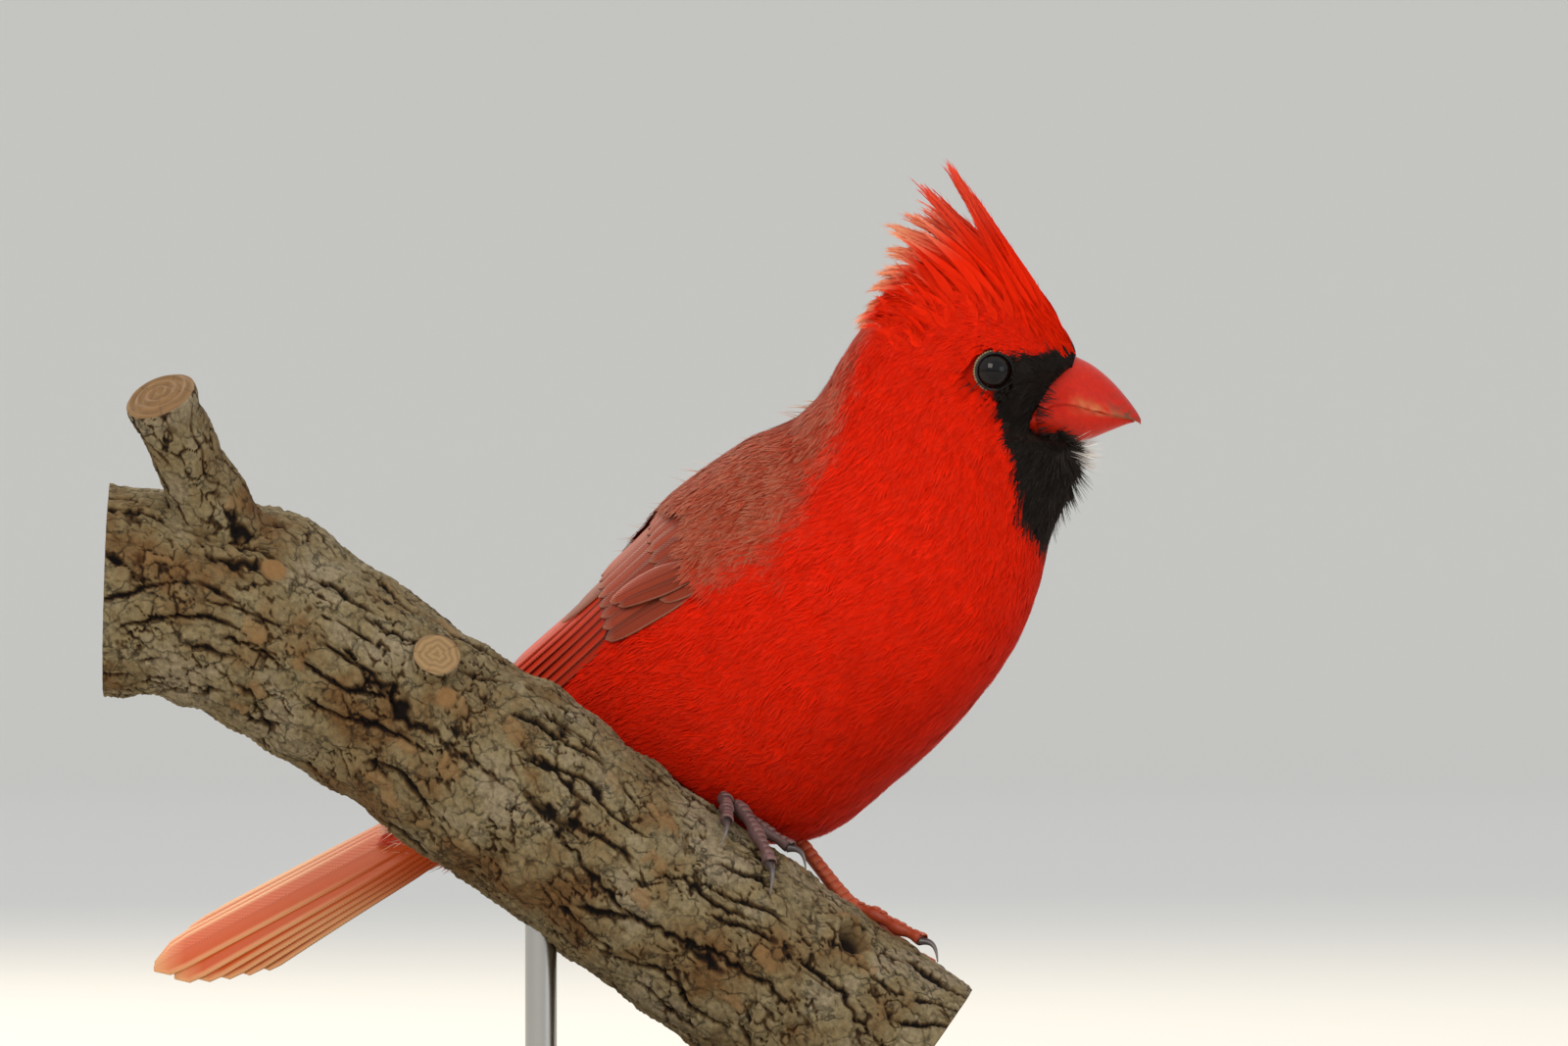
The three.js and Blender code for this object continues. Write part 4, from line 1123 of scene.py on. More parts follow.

# %% [markdown]
# ## Crest
#
# The crest is a fan of long, loose crown feathers that end in a ragged back edge. Each is a ribbon
# with barbs on both sides, from a root on the crown to a tip on the fan's edge. Short ones fill its
# foot. Their tips, most at the back of the fan, are painted pale as a painted highlight where light
# comes through them.

# %% Crest feathers
CREST_TUFTS = np.array([
    [58.3, 210.9], [52.4, 206.9], [51.2, 203.4], [49.0, 201.0], [46.2, 198.2], [46.6, 193.6], [45.4, 189.2],
    [44.1, 186.2], [43.3, 182.3], [41.9, 179.4],
])
TUFT_WEIGHT = np.array([2.6, 1.5, 0.9, 0.9, 1.1, 1.0, 1.0, 1.0, 1.0, 1.0])
CREST_COUNT, CREST_STATIONS, CREST_BARBS = 1500, 8, 20
CREST_RED, CREST_BACKLIT_TIP = linear("#dc2203"), linear("#eca47c")
rng = np.random.default_rng(21)

# %% How far out the head's side is at each x and z, so that crest feathers lie on it
HEAD_CELLS, HEAD_X, HEAD_Z = 160, 20, 120


def head_cell(x, z):
    """The half-millimetre cell of the side view that a place falls in."""
    cells = (np.asarray(x - HEAD_X) * 2, np.asarray(z - HEAD_Z) * 2)
    return tuple(np.clip(cell, 0, HEAD_CELLS - 1).astype(int) for cell in cells)


head_t, head_angle = np.meshgrid(np.linspace(9, 15, 700), np.linspace(0.0, math.pi / 2, 400), indexing="ij")
head_x, head_out, head_z = body_side_view(head_t, head_angle, 0.0)
head_sides = np.zeros((HEAD_CELLS, HEAD_CELLS))
np.maximum.at(head_sides, head_cell(head_x, head_z), head_out)


def clear_of_head(x, out, z, sign):
    there = head_sides[head_cell(x, z)]
    wanted = np.where(there > 0, there + 0.1, -99)
    return sign * np.maximum(out * sign, wanted)


def crest_feather():
    """Points, faces, paint and bake places of one crest feather."""
    tuft = rng.choice(len(CREST_TUFTS), p=TUFT_WEIGHT / TUFT_WEIGHT.sum())
    f = np.clip((tuft + rng.normal(0, 0.5)) / (len(CREST_TUFTS) - 1), -0.02, 1)
    lateral = np.clip(rng.normal(0, 0.5), -1.1, 1.1)
    root_t = mix(14.6, 11.0, max(f, 0) ** 0.85) - 0.5 * abs(lateral) + rng.uniform(-0.5, 0.35)
    root_angle = math.pi / 2 - lateral * 0.95
    x, out, z = body_side_view(np.array(root_t), np.array(root_angle), -0.5)
    off = abs(f * (len(CREST_TUFTS) - 1) - tuft)
    short = min(rng.random() ** 1.6 * 0.62 + 0.2 * off**1.5 + 0.22 * abs(lateral), 0.8)
    tip = CREST_TUFTS[tuft] + rng.normal(0, 0.55, 2)
    root = np.array([x, out, z])
    end = np.array([tip[0], out * 0.1 + rng.normal(0, 0.45), tip[1]])
    u = np.linspace(0, 1, CREST_STATIONS)[:, None]
    reach = end - root
    size = np.linalg.norm(reach)
    forward = np.array([reach[2], 0, -reach[0]]) / size
    bow = mix(-1.1, 2.4, smooth(-0.1, 0.4, f)) + rng.normal(0, 0.3)
    whole = u * (1 - short)
    spine = root + reach * whole + forward * bow * np.sin(math.pi * whole**0.8) * size / 30
    bedded = clear_of_head(*spine.T, 1 if lateral > 0 else -1) - 0.5 * np.sign(lateral) * (1 - u[:, 0]) ** 4
    spine[:, 1] = bedded + rng.normal(0, 0.12)
    way = unit_length(np.gradient(spine, axis=0))
    tilt = rng.normal(0, 0.45)
    facing = np.array([0, 1, 0]) * math.cos(tilt) + forward * math.sin(tilt)
    across = unit_length(np.cross(way, facing))
    half = 0.85 * np.interp(u[:, 0], [0, 0.12, 0.35, 0.7, 1], [0.12, 0.5, 1.0, 0.5, 0.05])[:, None]
    points = np.stack([spine - across * half, spine + across * half], 1).reshape(-1, 3)
    reaches = np.repeat(u[:, 0], 2)
    quads = np.array([[2 * k, 2 * k + 1, 2 * k + 3, 2 * k + 2] for k in range(CREST_STATIONS - 1)])
    barb_u = np.linspace(0.12, 0.93, CREST_BARBS) + rng.random(CREST_BARBS) * 0.03
    sign = np.where(np.arange(CREST_BARBS) % 2, 1, -1)
    place_at = barb_u * (CREST_STATIONS - 1)
    start, heading, sideways = (along(v, place_at) for v in (spine, way, across))
    length = mix(2.4, 4.2, rng.random(CREST_BARBS))[:, None]
    length = length * mix(1, 0.6, barb_u[:, None]) * min(1, size / 14)
    slant = mix(0.1, 0.36, rng.random(CREST_BARBS))[:, None] * sign[:, None]
    tip_points = start + (heading + sideways * slant) * length + rng.normal(0, 0.1, (CREST_BARBS, 3))
    wide = sideways * 0.085
    barbs = np.stack([start - wide, start + wide, tip_points], 1).reshape(-1, 3)
    barb_reach = np.stack([barb_u, barb_u, barb_u + length[:, 0] / size], 1).ravel()
    triangles = len(points) + np.arange(3 * CREST_BARBS).reshape(-1, 3)
    points = place(*np.vstack([points, barbs]).T)
    reaches = np.clip(np.concatenate([reaches, barb_reach]), 0, 1) * (1 - short)
    # Tips painted pale, most at the back of the fan: a painted highlight where light comes through them.
    # Roots painted a little darker: painted shade under the crown.
    pale = smooth(0.45, 0.9, reaches) * mix(0.15, 0.9, smooth(0.1, 0.5, f))
    paint = blend_colours(CREST_RED * mix(0.94, 1.05, smooth(0, 0.3, reaches))[:, None], CREST_BACKLIT_TIP, pale)
    paint = paint * math.exp(rng.normal(0, 0.09))
    root_place = np.array([np.mod(root_angle / (2 * math.pi), 1), (root_t + 1) / (LAST_CUT + 2)])
    bake = 0.01 + 0.98 * root_place + BAKE_PATCH * np.stack([reaches - 0.5, reaches * 0.6], 1)
    return points, quads, triangles, paint, bake


parts = [crest_feather() for _ in range(CREST_COUNT)]
sizes = np.cumsum([0] + [len(p[0]) for p in parts[:-1]])
crest = make_piece(
    "crest_feathers",
    np.vstack([p[0] for p in parts]),
    [np.concatenate([p[k] + n for p, n in zip(parts, sizes)]) for k in (1, 2)],
    plumage,
    np.clip(np.vstack([p[3] for p in parts]), 0, 1),
    np.vstack([p[4] for p in parts]),
)
belongs(crest, "plumage", "crest")

# %% [markdown]
# ## Wisps
#
# Some feathers are too loose for the coat: the bristly plumes of the bib, pale filaments on the chin,
# nape and back, and down at the root of the tail. Each is a thin ribbon that starts on the skin and
# bends away from it, made in one go as arrays like the coat.


# %% Ribbons that stand off the skin
def wisps(name, t, angle, heading, length, bend, half_width, colours, rng, lift=0.5):
    """Thin ribbons. heading holds shares of backwards, outwards and sideways, and bend is added to
    the outward share towards the tip."""
    spot, _, _, back, normal, side = directions(skin_surface, t, angle, lift)
    stations = 6
    rows = []
    for k in range(stations):
        f = k / (stations - 1)
        way = back * heading[:, :1] + normal * (heading[:, 1:2] + bend * f) + side * heading[:, 2:]
        way = unit_length(way)
        across = unit_length(np.cross(way, [0.0, 1.0, 0.0] + 0.3 * side))
        half = half_width * (1 - 0.9 * f**2)
        rows.append(np.stack([spot - across * half, spot + across * half], 1))
        spot = spot + way * (length / (stations - 1))[:, None]
    points = np.stack(rows, 1).reshape(len(t), -1, 3)
    quads = np.array([[2 * k + 1, 2 * k, 2 * k + 2, 2 * k + 3] for k in range(stations - 1)])
    polygons = (quads[None] + (np.arange(len(t)) * 2 * stations)[:, None, None]).reshape(-1, 4)
    reach = np.repeat(np.linspace(0, 1, stations), 2)[None, :, None]
    tone = colours[0] + (colours[1] - colours[0]) * reach
    tone = tone * np.exp(rng.normal(0, 0.2, len(t)))[:, None, None]
    shapes = np.stack([np.repeat(np.linspace(0, 1, stations), 2), np.tile([-0.5, 0.5], stations)], 1)
    bake = bake_places(t, angle, np.broadcast_to(shapes, (len(t), *shapes.shape)))
    paint = np.clip(tone, 0, 1).reshape(-1, 3)
    piece = make_piece(name, points.reshape(-1, 3), [polygons], plumage, paint, bake.reshape(-1, 2))
    return belongs(piece, "plumage")


# %% Where each kind of wisp grows
# The bib's black feathers are painted lighter towards their tips: a painted sheen on the black.
BIB_TONES = (linear("#14110f"), linear("#38322d"))
CHIN_TONES = (linear("#8a8078"), linear("#f4eee4"))
FLUFF_TONES = (linear("#c8745a"), linear("#f0cdb4"))
FILAMENT_TONES = (linear("#b08068"), linear("#e4c8b0"))
rng = np.random.default_rng(33)


def drawn(value, count):
    """The same value for all where it is one number, or random ones from a range."""
    return rng.uniform(*value, count) if isinstance(value, tuple) else np.full(count, value)


# Name, count, range of t, middle and spread of angle, shares backwards, outwards and sideways, range of
# length, bend, half width and the tones from root to tip.
for name, count, t_range, turn, spread, (backwards, outwards, sideways), reach, bend, half, tones in (
    ("bib_plumes", 1300, (10.6, 14.7), -math.pi / 2, 0.6, (1.0, (-0.05, 0.2), 0.2), (2.4, 5.2), 0.4, 0.12,
     BIB_TONES),
    ("chin_filaments", 110, (12.2, 13.4), -math.pi / 2, 0.22, ((0.2, 0.7), 1.0, 0.25), (4.0, 6.8), 0.3, 0.06,
     CHIN_TONES),
    ("bib_bristles", 130, (10.4, 12.6), -math.pi / 2, 0.3, (1.0, (0.1, 0.4), 0.2), (4.5, 7.5), 0.7, 0.07,
     BIB_TONES),
    ("vent_fluff", 260, (0.3, 1.3), -1.5, 0.6, (1.0, (0.1, 0.5), 0.3), (3.5, 6.0), 0.1, 0.1, FLUFF_TONES),
    ("rump_fluff", 90, (0.15, 0.7), 1.4, 0.6, (1.0, (0.1, 0.5), 0.3), (3.5, 6.0), 0.1, 0.1, FLUFF_TONES),
):
    t, angle = rng.uniform(*t_range, count), rng.normal(turn, spread, count)
    heading = np.stack([drawn(backwards, count), drawn(outwards, count), rng.normal(0, sideways, count)], 1)
    wisps(name, t, angle, heading, rng.uniform(*reach, count), bend, half, tones, rng)
for name, middle, spread, turn_spread, count, reach in (
    ("back_filaments", 5.2, 0.6, 0.12, 60, 7.0),
    ("nape_filaments", 7.5, 0.16, 0.1, 16, 5.0),
):
    t, angle = rng.normal(middle, spread, count), rng.normal(math.pi / 2, turn_spread, count)
    heading = np.stack([rng.uniform(0.5, 1.3, count), np.full(count, 1.0), rng.normal(0, 0.3, count)], 1)
    length = reach * rng.uniform(0.6, 1.15, count)
    wisps(name, t, angle, heading, length, -0.4, 0.07, FILAMENT_TONES, rng, lift=2.0)

# %% [markdown]
# ## Bill, eyes and lids
#
# The bill is a short thick cone in two halves, made for cracking seeds. Each half is a row of arches
# with a flat inner side. The eye is a glossy ball set in the side of the head, and a ring of small
# bead-like scales rims its lids. Those beads, and the bristles at the gape, repeat along a path, so
# one geometry-node tree lays both.


# %% Closed tubes from rings of points
def closed_tube(rings):
    """Points and outward polygons of a row of rings with a centre point at each end."""
    rows, sides = rings.shape[:2]
    points = np.vstack([rings.reshape(-1, 3), rings[0].mean(0), rings[-1].mean(0)])
    first = np.arange(sides)
    last = first + (rows - 1) * sides
    caps = np.concatenate([fan_faces(first, rows * sides, flip=True), fan_faces(last, rows * sides + 1)])
    return points, outward(points, [grid_faces(rows, sides, closed=True), caps])


def tube(path, radii, upright=(0, 0, 1), sides=20, flat=1.0):
    """Rings round a path. flat is how wide each ring is for its height."""
    way = unit_length(np.gradient(path, axis=0))
    side = unit_length(np.cross(way, upright))
    up = np.cross(side, way)
    turn = full_turn(sides)
    radii = np.asarray(radii)[:, None, None]
    around = side[:, None] * np.cos(turn)[None, :, None] * flat + up[:, None] * np.sin(turn)[None, :, None]
    return path[:, None] + around * radii


# %% Bill
# Each row holds x, the top's and the low side's z, and half the width.
UPPER_BILL = np.array([
    [72.0, 172.6, 161.6, 6.4], [76.2, 174.6, 162.9, 7.0], [79.3, 174.8, 164.5, 6.9],
    [82.4, 173.5, 164.6, 6.5], [86.1, 171.6, 163.6, 5.4], [89.6, 168.7, 162.8, 4.0],
    [92.6, 165.3, 162.1, 2.4], [94.4, 162.8, 161.4, 1.0], [95.1, 161.5, 160.9, 0.3],
])
LOWER_BILL = np.array([
    [72.0, 161.2, 158.2, 6.4], [76.2, 162.5, 157.6, 6.9], [79.3, 164.1, 156.9, 6.7],
    [82.4, 164.2, 156.9, 6.1], [86.1, 163.2, 158.0, 4.9], [89.6, 162.4, 159.4, 3.3],
    [92.4, 161.7, 160.5, 1.5], [93.9, 161.2, 160.9, 0.4],
])
BILL_RED, BILL_ROSE, BILL_EDGE, BILL_TIP = (linear(c) for c in ("#c61c02", "#c8402e", "#cf8c58", "#5a4232"))


def mandible(name, rows, arch, node):
    """One half of the bill. arch is 1 for the upper half, whose flat side is below, or -1."""
    stations = along(rows, np.linspace(0, len(rows) - 1, 60))
    turn = np.concatenate([np.linspace(0, math.pi, 40), np.linspace(math.pi, 2 * math.pi, 14)[1:-1]])
    x, top, low, half = (stations[:, k, None] for k in range(4))
    half = np.maximum(half + (0.12 if arch > 0 else 0.0), 0.15)
    low = low - (0.45 if arch > 0 else 0.0)
    height = np.maximum(np.sin(turn), 0)[None] ** 0.9
    level = mix(low, top, height) if arch > 0 else mix(top, low, height)
    rim = np.exp(-((height / 0.16) ** 2)) * (np.sin(turn) > -0.05)
    nick = 0.28 * np.exp(-(((x - 87.3) / 0.8) ** 2)) * rim
    out = half * np.cos(turn)[None] * (1 - 0.03 * rim)
    rings = place(np.broadcast_to(x, level.shape), out, level + arch * nick)
    points, polygons = closed_tube(rings)
    ahead = smooth(79, 95, x) + 0 * height
    colour = np.broadcast_to(BILL_RED, (*level.shape, 3))
    colour = blend_colours(colour, BILL_ROSE, 0.55 * height**2 * (1 - ahead))
    streak = 0.5 + 0.5 * wave_noise(x * 0.4, out, level, 1.6)
    colour = blend_colours(colour, BILL_EDGE, 0.8 * rim * streak * smooth(0.02, 0.2, ahead))
    worn = smooth(0.55, 0.95, ahead) * (arch > 0) * smooth(0.25, 0.6, streak) * mix(1, 0.3, height)
    colour = blend_colours(colour, BILL_TIP, 0.85 * worn)
    colour = np.vstack([colour.reshape(-1, 3), colour[0, :1], colour[-1, :1]])
    piece = make_piece(name, points, polygons, bill_horn, np.clip(colour, 0, 1))
    return belongs(piece, "bill", node)


mandible("upper_mandible", UPPER_BILL, 1, "bill_upper")
mandible("lower_mandible", LOWER_BILL, -1, "bill_lower")

# %% Eyes: a ball whose pole is the pupil, turned a little forward
PUPIL, IRIS, SCLERA = linear("#040303"), linear("#160d09"), linear("#080605")
EYE_FORWARD = math.radians(9)
EYE_ROWS, EYE_SIDES = 40, 48
LID = {"radius": 3.5, "thick": 0.3}


def eye_frame(side):
    """The centre of an eye, its outward axis, and two directions across it."""
    centre = place(EYE["x"], side * EYE["out"], EYE["z"])
    out = place(EYE["x"], side * (EYE["out"] + 1), EYE["z"]) - centre
    ahead = np.array([1.0, 0.0, 0.0]) - out * out[0]
    ahead /= np.linalg.norm(ahead)
    axis = out * math.cos(EYE_FORWARD) + ahead * math.sin(EYE_FORWARD)
    ahead = ahead * math.cos(EYE_FORWARD) - out * math.sin(EYE_FORWARD)
    return centre, axis, ahead, np.array([0.0, 0.0, 1.0])


def eyeball(side_name, side):
    centre, axis, ahead, up = eye_frame(side)
    polar = np.linspace(0.02, math.pi - 0.02, EYE_ROWS)[:, None]
    turn = full_turn(EYE_SIDES)[None]
    radius = EYE["radius"] * 0.985 * (1 + 0.05 * np.exp(-((polar / 0.55) ** 2)))
    ring, depth = radius * np.sin(polar), radius * np.cos(polar)
    rings = centre + depth[..., None] * axis
    rings = rings + (ring * np.cos(turn))[..., None] * ahead + (ring * np.sin(turn))[..., None] * up
    points, polygons = closed_tube(rings)
    reach = np.repeat(polar[:, 0], EYE_SIDES)
    colour = blend_colours(np.broadcast_to(PUPIL, (len(reach), 3)), IRIS, smooth(0.46, 0.52, reach))
    colour = blend_colours(colour, SCLERA, smooth(0.78, 0.9, reach))
    piece = make_piece(f"eyeball_{side_name}", points, polygons, cornea, np.vstack([colour, PUPIL, SCLERA]))
    return belongs(piece, "eye", f"eye_{side_name}")


for side_name, side in SIDES.items():
    eyeball(side_name, side)


# %% A geometry-node tree that repeats a small shape along a path
def repeat_tree():
    """Lays a unit along a path: its z follows the path and its x follows the path's attribute up."""
    tree = bpy.data.node_groups.new("Repeat along path", "GeometryNodeTree")
    for name, kind in (("Path", "Geometry"), ("Unit", "Object"), ("Count", "Int"), ("Spin", "Float"),
                       ("Uneven", "Float"), ("Seed", "Int"), ("Material", "Material")):
        tree.interface.new_socket(name, in_out="INPUT", socket_type=f"NodeSocket{kind}")
    tree.interface.new_socket("Geometry", in_out="OUTPUT", socket_type="NodeSocketGeometry")
    given = add_node(tree, "NodeGroupInput").outputs
    curve = add_node(tree, "GeometryNodeMeshToCurve", {"Mesh": given["Path"]})
    even = add_node(
        tree, "GeometryNodeResampleCurve", {"Curve": curve.outputs[0], "Count": given["Count"]}
    )
    tangent = add_node(tree, "GeometryNodeInputTangent")
    upright = add_node(tree, "GeometryNodeInputNamedAttribute", {"Name": "up"}, data_type="FLOAT_VECTOR")
    size = add_node(tree, "GeometryNodeInputNamedAttribute", {"Name": "size"}, data_type="FLOAT")
    facing = add_node(
        tree, "FunctionNodeAlignRotationToVector", {"Vector": tangent.outputs[0]}, axis="Z"
    )
    turned = add_node(
        tree,
        "FunctionNodeAlignRotationToVector",
        {"Rotation": facing.outputs[0], "Vector": upright.outputs[0]},
        axis="X",
        pivot_axis="Z",
    )
    back = add_node(tree, "ShaderNodeMath", {0: given["Spin"], 1: -1.0}, operation="MULTIPLY")
    low = add_node(tree, "ShaderNodeCombineXYZ", {axis: back.outputs[0] for axis in "XYZ"})
    high = add_node(tree, "ShaderNodeCombineXYZ", {axis: given["Spin"] for axis in "XYZ"})
    spin = add_node(
        tree,
        "FunctionNodeRandomValue",
        {"Min": low.outputs[0], "Max": high.outputs[0], "Seed": given["Seed"]},
        data_type="FLOAT_VECTOR",
    )
    as_turn = add_node(tree, "FunctionNodeEulerToRotation", {0: spin.outputs[0]})
    loose = add_node(
        tree,
        "FunctionNodeRotateRotation",
        {"Rotation": turned.outputs[0], "Rotate By": as_turn.outputs[0]},
        rotation_space="LOCAL",
    )
    least = add_node(tree, "ShaderNodeMath", {0: 1.0, 1: given["Uneven"]}, operation="SUBTRACT")
    most = add_node(tree, "ShaderNodeMath", {0: 1.0, 1: given["Uneven"]}, operation="ADD")
    share = add_node(
        tree,
        "FunctionNodeRandomValue",
        {2: least.outputs[0], 3: most.outputs[0], "Seed": given["Seed"]},
        data_type="FLOAT",
    )
    scale = add_node(tree, "ShaderNodeMath", {0: size.outputs[0], 1: share.outputs[1]}, operation="MULTIPLY")
    unit = add_node(tree, "GeometryNodeObjectInfo", {"Object": given["Unit"]}, transform_space="ORIGINAL")
    laid = add_node(
        tree,
        "GeometryNodeInstanceOnPoints",
        {
            "Points": even.outputs[0],
            "Instance": unit.outputs["Geometry"],
            "Rotation": loose.outputs[0],
            "Scale": scale.outputs[0],
        },
    )
    real = add_node(tree, "GeometryNodeRealizeInstances", {"Geometry": laid.outputs[0]})
    covered = add_node(
        tree, "GeometryNodeSetMaterial", {"Geometry": real.outputs[0], "Material": given["Material"]}
    )
    add_node(tree, "NodeGroupOutput", {"Geometry": covered.outputs[0]})
    return tree


REPEAT = repeat_tree()


def path_object(path, up, size, closed=False):
    """A line of edges in mm, with the attributes that the tree reads."""
    mesh = bpy.data.meshes.new("path")
    count = len(path)
    edges = [(i, (i + 1) % count) for i in range(count - (not closed))]
    mesh.from_pydata([tuple(p * MM) for p in path], edges, [])
    ups = mesh.attributes.new("up", "FLOAT_VECTOR", "POINT")
    ups.data.foreach_set("vector", np.ravel(up).astype(np.float32))
    sizes = mesh.attributes.new("size", "FLOAT", "POINT")
    sizes.data.foreach_set("value", np.broadcast_to(size, count).astype(np.float32))
    line = bpy.data.objects.new("path", mesh)
    bpy.context.scene.collection.objects.link(line)
    return line


def repeat_along(name, line, unit, count, spin, uneven, seed, material):
    """The tree's result as a plain mesh. The path object goes once it has been used."""
    modifier = line.modifiers.new("repeat", "NODES")
    modifier.node_group = REPEAT
    ids = {item.name: item.identifier for item in REPEAT.interface.items_tree if item.in_out == "INPUT"}
    values = {"Unit": unit, "Count": count, "Spin": spin, "Uneven": uneven, "Seed": seed}
    for socket, value in (values | {"Material": material}).items():
        modifier[ids[socket]] = value
    seen = line.evaluated_get(bpy.context.evaluated_depsgraph_get())
    mesh = bpy.data.meshes.new_from_object(seen)
    mesh.name = name
    bpy.data.objects.remove(line)
    piece = bpy.data.objects.new(name, mesh)
    bpy.context.scene.collection.objects.link(piece)
    return piece


def unit_object(name, points, polygons, colour, material):
    """A small shape to repeat, 1 mm being its size, kept out of the scene."""
    paint = np.broadcast_to(colour, (len(points), 3))
    shape = make_piece(name, points, polygons, material, paint)
    bpy.context.scene.collection.objects.unlink(shape)
    return shape


# %% Lid ring: a dark rim with a row of pale scales on its outer side
LID_ROWS, LID_SIDES = 72, 12


def lid(side_name, side):
    centre, axis, ahead, up = eye_frame(side)
    turn = full_turn(LID_ROWS)
    depth = math.sqrt(EYE["radius"] ** 2 - LID["radius"] ** 2) + 0.1
    round_eye = np.cos(turn)[:, None] * ahead + np.sin(turn)[:, None] * up
    path = centre + axis * depth + round_eye * LID["radius"]
    small = full_turn(LID_SIDES)
    ring = (
        path[:, None]
        + round_eye[:, None] * (LID["thick"] * np.cos(small))[None, :, None]
        + axis * (LID["thick"] * 1.1 * np.sin(small))[None, :, None]
    )
    points = ring.reshape(-1, 3)
    faces = grid_faces(LID_ROWS, LID_SIDES, closed=True)
    first = np.arange(LID_SIDES)
    last = first + (LID_ROWS - 1) * LID_SIDES
    join = np.stack([last, np.roll(last, -1), np.roll(first, -1), first], 1)
    polygons = outward(points, [np.concatenate([faces, join])])
    paint = np.broadcast_to(linear("#120f0d"), (len(points), 3))
    rim = make_piece(f"lid_{side_name}", points, polygons, scaled_skin, paint)
    belongs(rim, "leg_scales")
    outer = centre + axis * (depth - 0.05) + round_eye * (LID["radius"] + LID["thick"] * 1.15)
    line = path_object(outer, np.broadcast_to(axis, outer.shape), 1.0, closed=True)
    beads = repeat_along(f"lid_scales_{side_name}", line, BEAD, 46, 0.2, 0.18, 3, scaled_skin)
    belongs(beads, "leg_scales")


bead_rings = np.array([
    [[0.2 * s * math.cos(a), 0.27 * s * math.sin(a), z] for a in full_turn(8)]
    for s, z in ((0.5, -0.25), (1.0, -0.1), (1.0, 0.1), (0.5, 0.25))
])
BEAD = unit_object("bead", *closed_tube(bead_rings), linear("#8a7a58"), scaled_skin)
for side_name, side in SIDES.items():
    lid(side_name, side)

# %% Bristles at the corner of the gape
def bristle_ring(f):
    """One ring of a bristle, which thins and curves a little towards its tip."""
    r = 0.035 * (1 - 0.8 * f)
    return [[f * 0.8, r * math.cos(a) + 0.05 * f**2, r * math.sin(a)] for a in (0, 2.1, 4.2)]


bristle_rings = np.array([bristle_ring(f) for f in np.linspace(0, 1, 6)])
BRISTLE = unit_object("bristle", *closed_tube(bristle_rings), linear("#14100d"), claw_horn)
f = np.linspace(0, 1, 20)
gape_x = np.interp(f, [0, 0.35, 0.7, 1], [77.6, 75.8, 75.4, 76.8])
gape_z = np.interp(f, [0, 0.35, 0.7, 1], [171.0, 166.0, 161.0, 156.6])
droop = mix(-0.1, -0.55, f)
for side_name, side in SIDES.items():
    gape = place(gape_x, side * np.full(20, 7.4), gape_z)
    heading = np.stack([np.full(20, 1.0), -0.25 * side + 0 * f, droop], 1)
    line = path_object(gape, heading, mix(2.6, 4.2, np.sin(math.pi * f)))
    bristles = repeat_along(f"gape_bristles_{side_name}", line, BRISTLE, 40, 0.3, 0.4, 11, claw_horn)
    belongs(bristles, "plumage")

# %% [markdown]
# ## Legs and feet
#
# A perching bird's foot is a bare shank and four toes. Their upper side carries one row of
# overlapping scales, and each toe ends in a curved claw. The toes follow the bark, so their paths are
# given as places on the branch, w along it and turn round it.

# %% Leg and toe paths
# The right leg is painted grey-brown and the left orange-red: the same skin, painted in shade on the right
# and lit on the left.
LEGS = {
    "right": {
        "foot": (45, -0.24), "ankle": (4.5, 5, 109), "skin": "#5d4240", "scale": "#7a5a56",
        "toes": [((48.6, 0.5), (50.6, 0.78)), ((59.6, 0.66), (63.4, 0.92)),
                 ((61.0, 0.06), (66.2, 0.12)), ((36.5, -0.66), (31.4, -0.86))],
    },
    "left": {
        "foot": (77.5, -0.5), "ankle": (27, 7, 86.5), "skin": "#a23c1a", "scale": "#b8522c",
        "toes": [((89.5, -1.08), (94.2, -1.22)), ((95.8, -0.54), (100.8, -0.46)),
                 ((91.5, -0.06), (96.6, 0.06)), ((68.0, -0.96), (62.6, -1.1))],
    },
}
TOE_RADIUS, TARSUS_RADIUS, CLAW_RADIUS, BARK_GAP = 1.35, 1.25, 0.85, 0.35


def foot_joint(leg):
    return perch_point(*leg["foot"], TOE_RADIUS + 0.9)


def toe_path(leg, to, f):
    lift = TOE_RADIUS + BARK_GAP + 0.45 * np.abs(np.sin(1.5 * math.pi * f)) + 0.8 * (1 - f) ** 3
    return perch_point(mix(leg["foot"][0], to[0], f), mix(leg["foot"][1], to[1], f), lift)


def toe_radius(f):
    return TOE_RADIUS * (0.86 + 0.14 * np.cos(6 * math.pi * f)) * mix(1.08, 0.86, f)


# %% One scale, which is laid over and over along a shank or a toe
scale_turn = np.linspace(-1.15, 1.15, 7)
scale_rows = ((-0.5, 0.98), (-0.35, 1.05), (0.1, 1.12), (0.42, 1.1), (0.5, 1.02))
scale_top = np.array([
    [[r * math.cos(a), r * math.sin(a) * 0.97, z] for a in scale_turn] for z, r in scale_rows
])
scale_low = scale_top * [0.86, 0.86, 1]
scale_points, scale_faces = plate(scale_top, scale_low, 0)
scale_polygons = outward(scale_points, [scale_faces])


def scaled_limb(name, path, radii, upright, colours, count, node):
    """A limb as a smooth tube with a row of scales on its upper or front side."""
    skin_colour, scale_colour = (linear(c) for c in colours)
    points, polygons = closed_tube(tube(path, radii, upright=upright, sides=16))
    wrinkle = 0.08 * wave_noise(*points.T, 1.4)[:, None]
    paint = np.clip(skin_colour * (1 + wrinkle), 0, 1)
    piece = make_piece(f"{name}_skin", points, polygons, scaled_skin, paint)
    belongs(piece, "leg_scales", node)
    unit = unit_object(f"{name}_scale", scale_points, scale_polygons, scale_colour, scaled_skin)
    way = unit_length(np.gradient(path, axis=0))
    up = np.broadcast_to(upright, path.shape)
    up = up - way * (up * way).sum(1)[:, None]
    line = path_object(path, up, radii)
    scales = repeat_along(f"{name}_scales", line, unit, count, 0.03, 0.03, 5, scaled_skin)
    belongs(scales, "leg_scales")


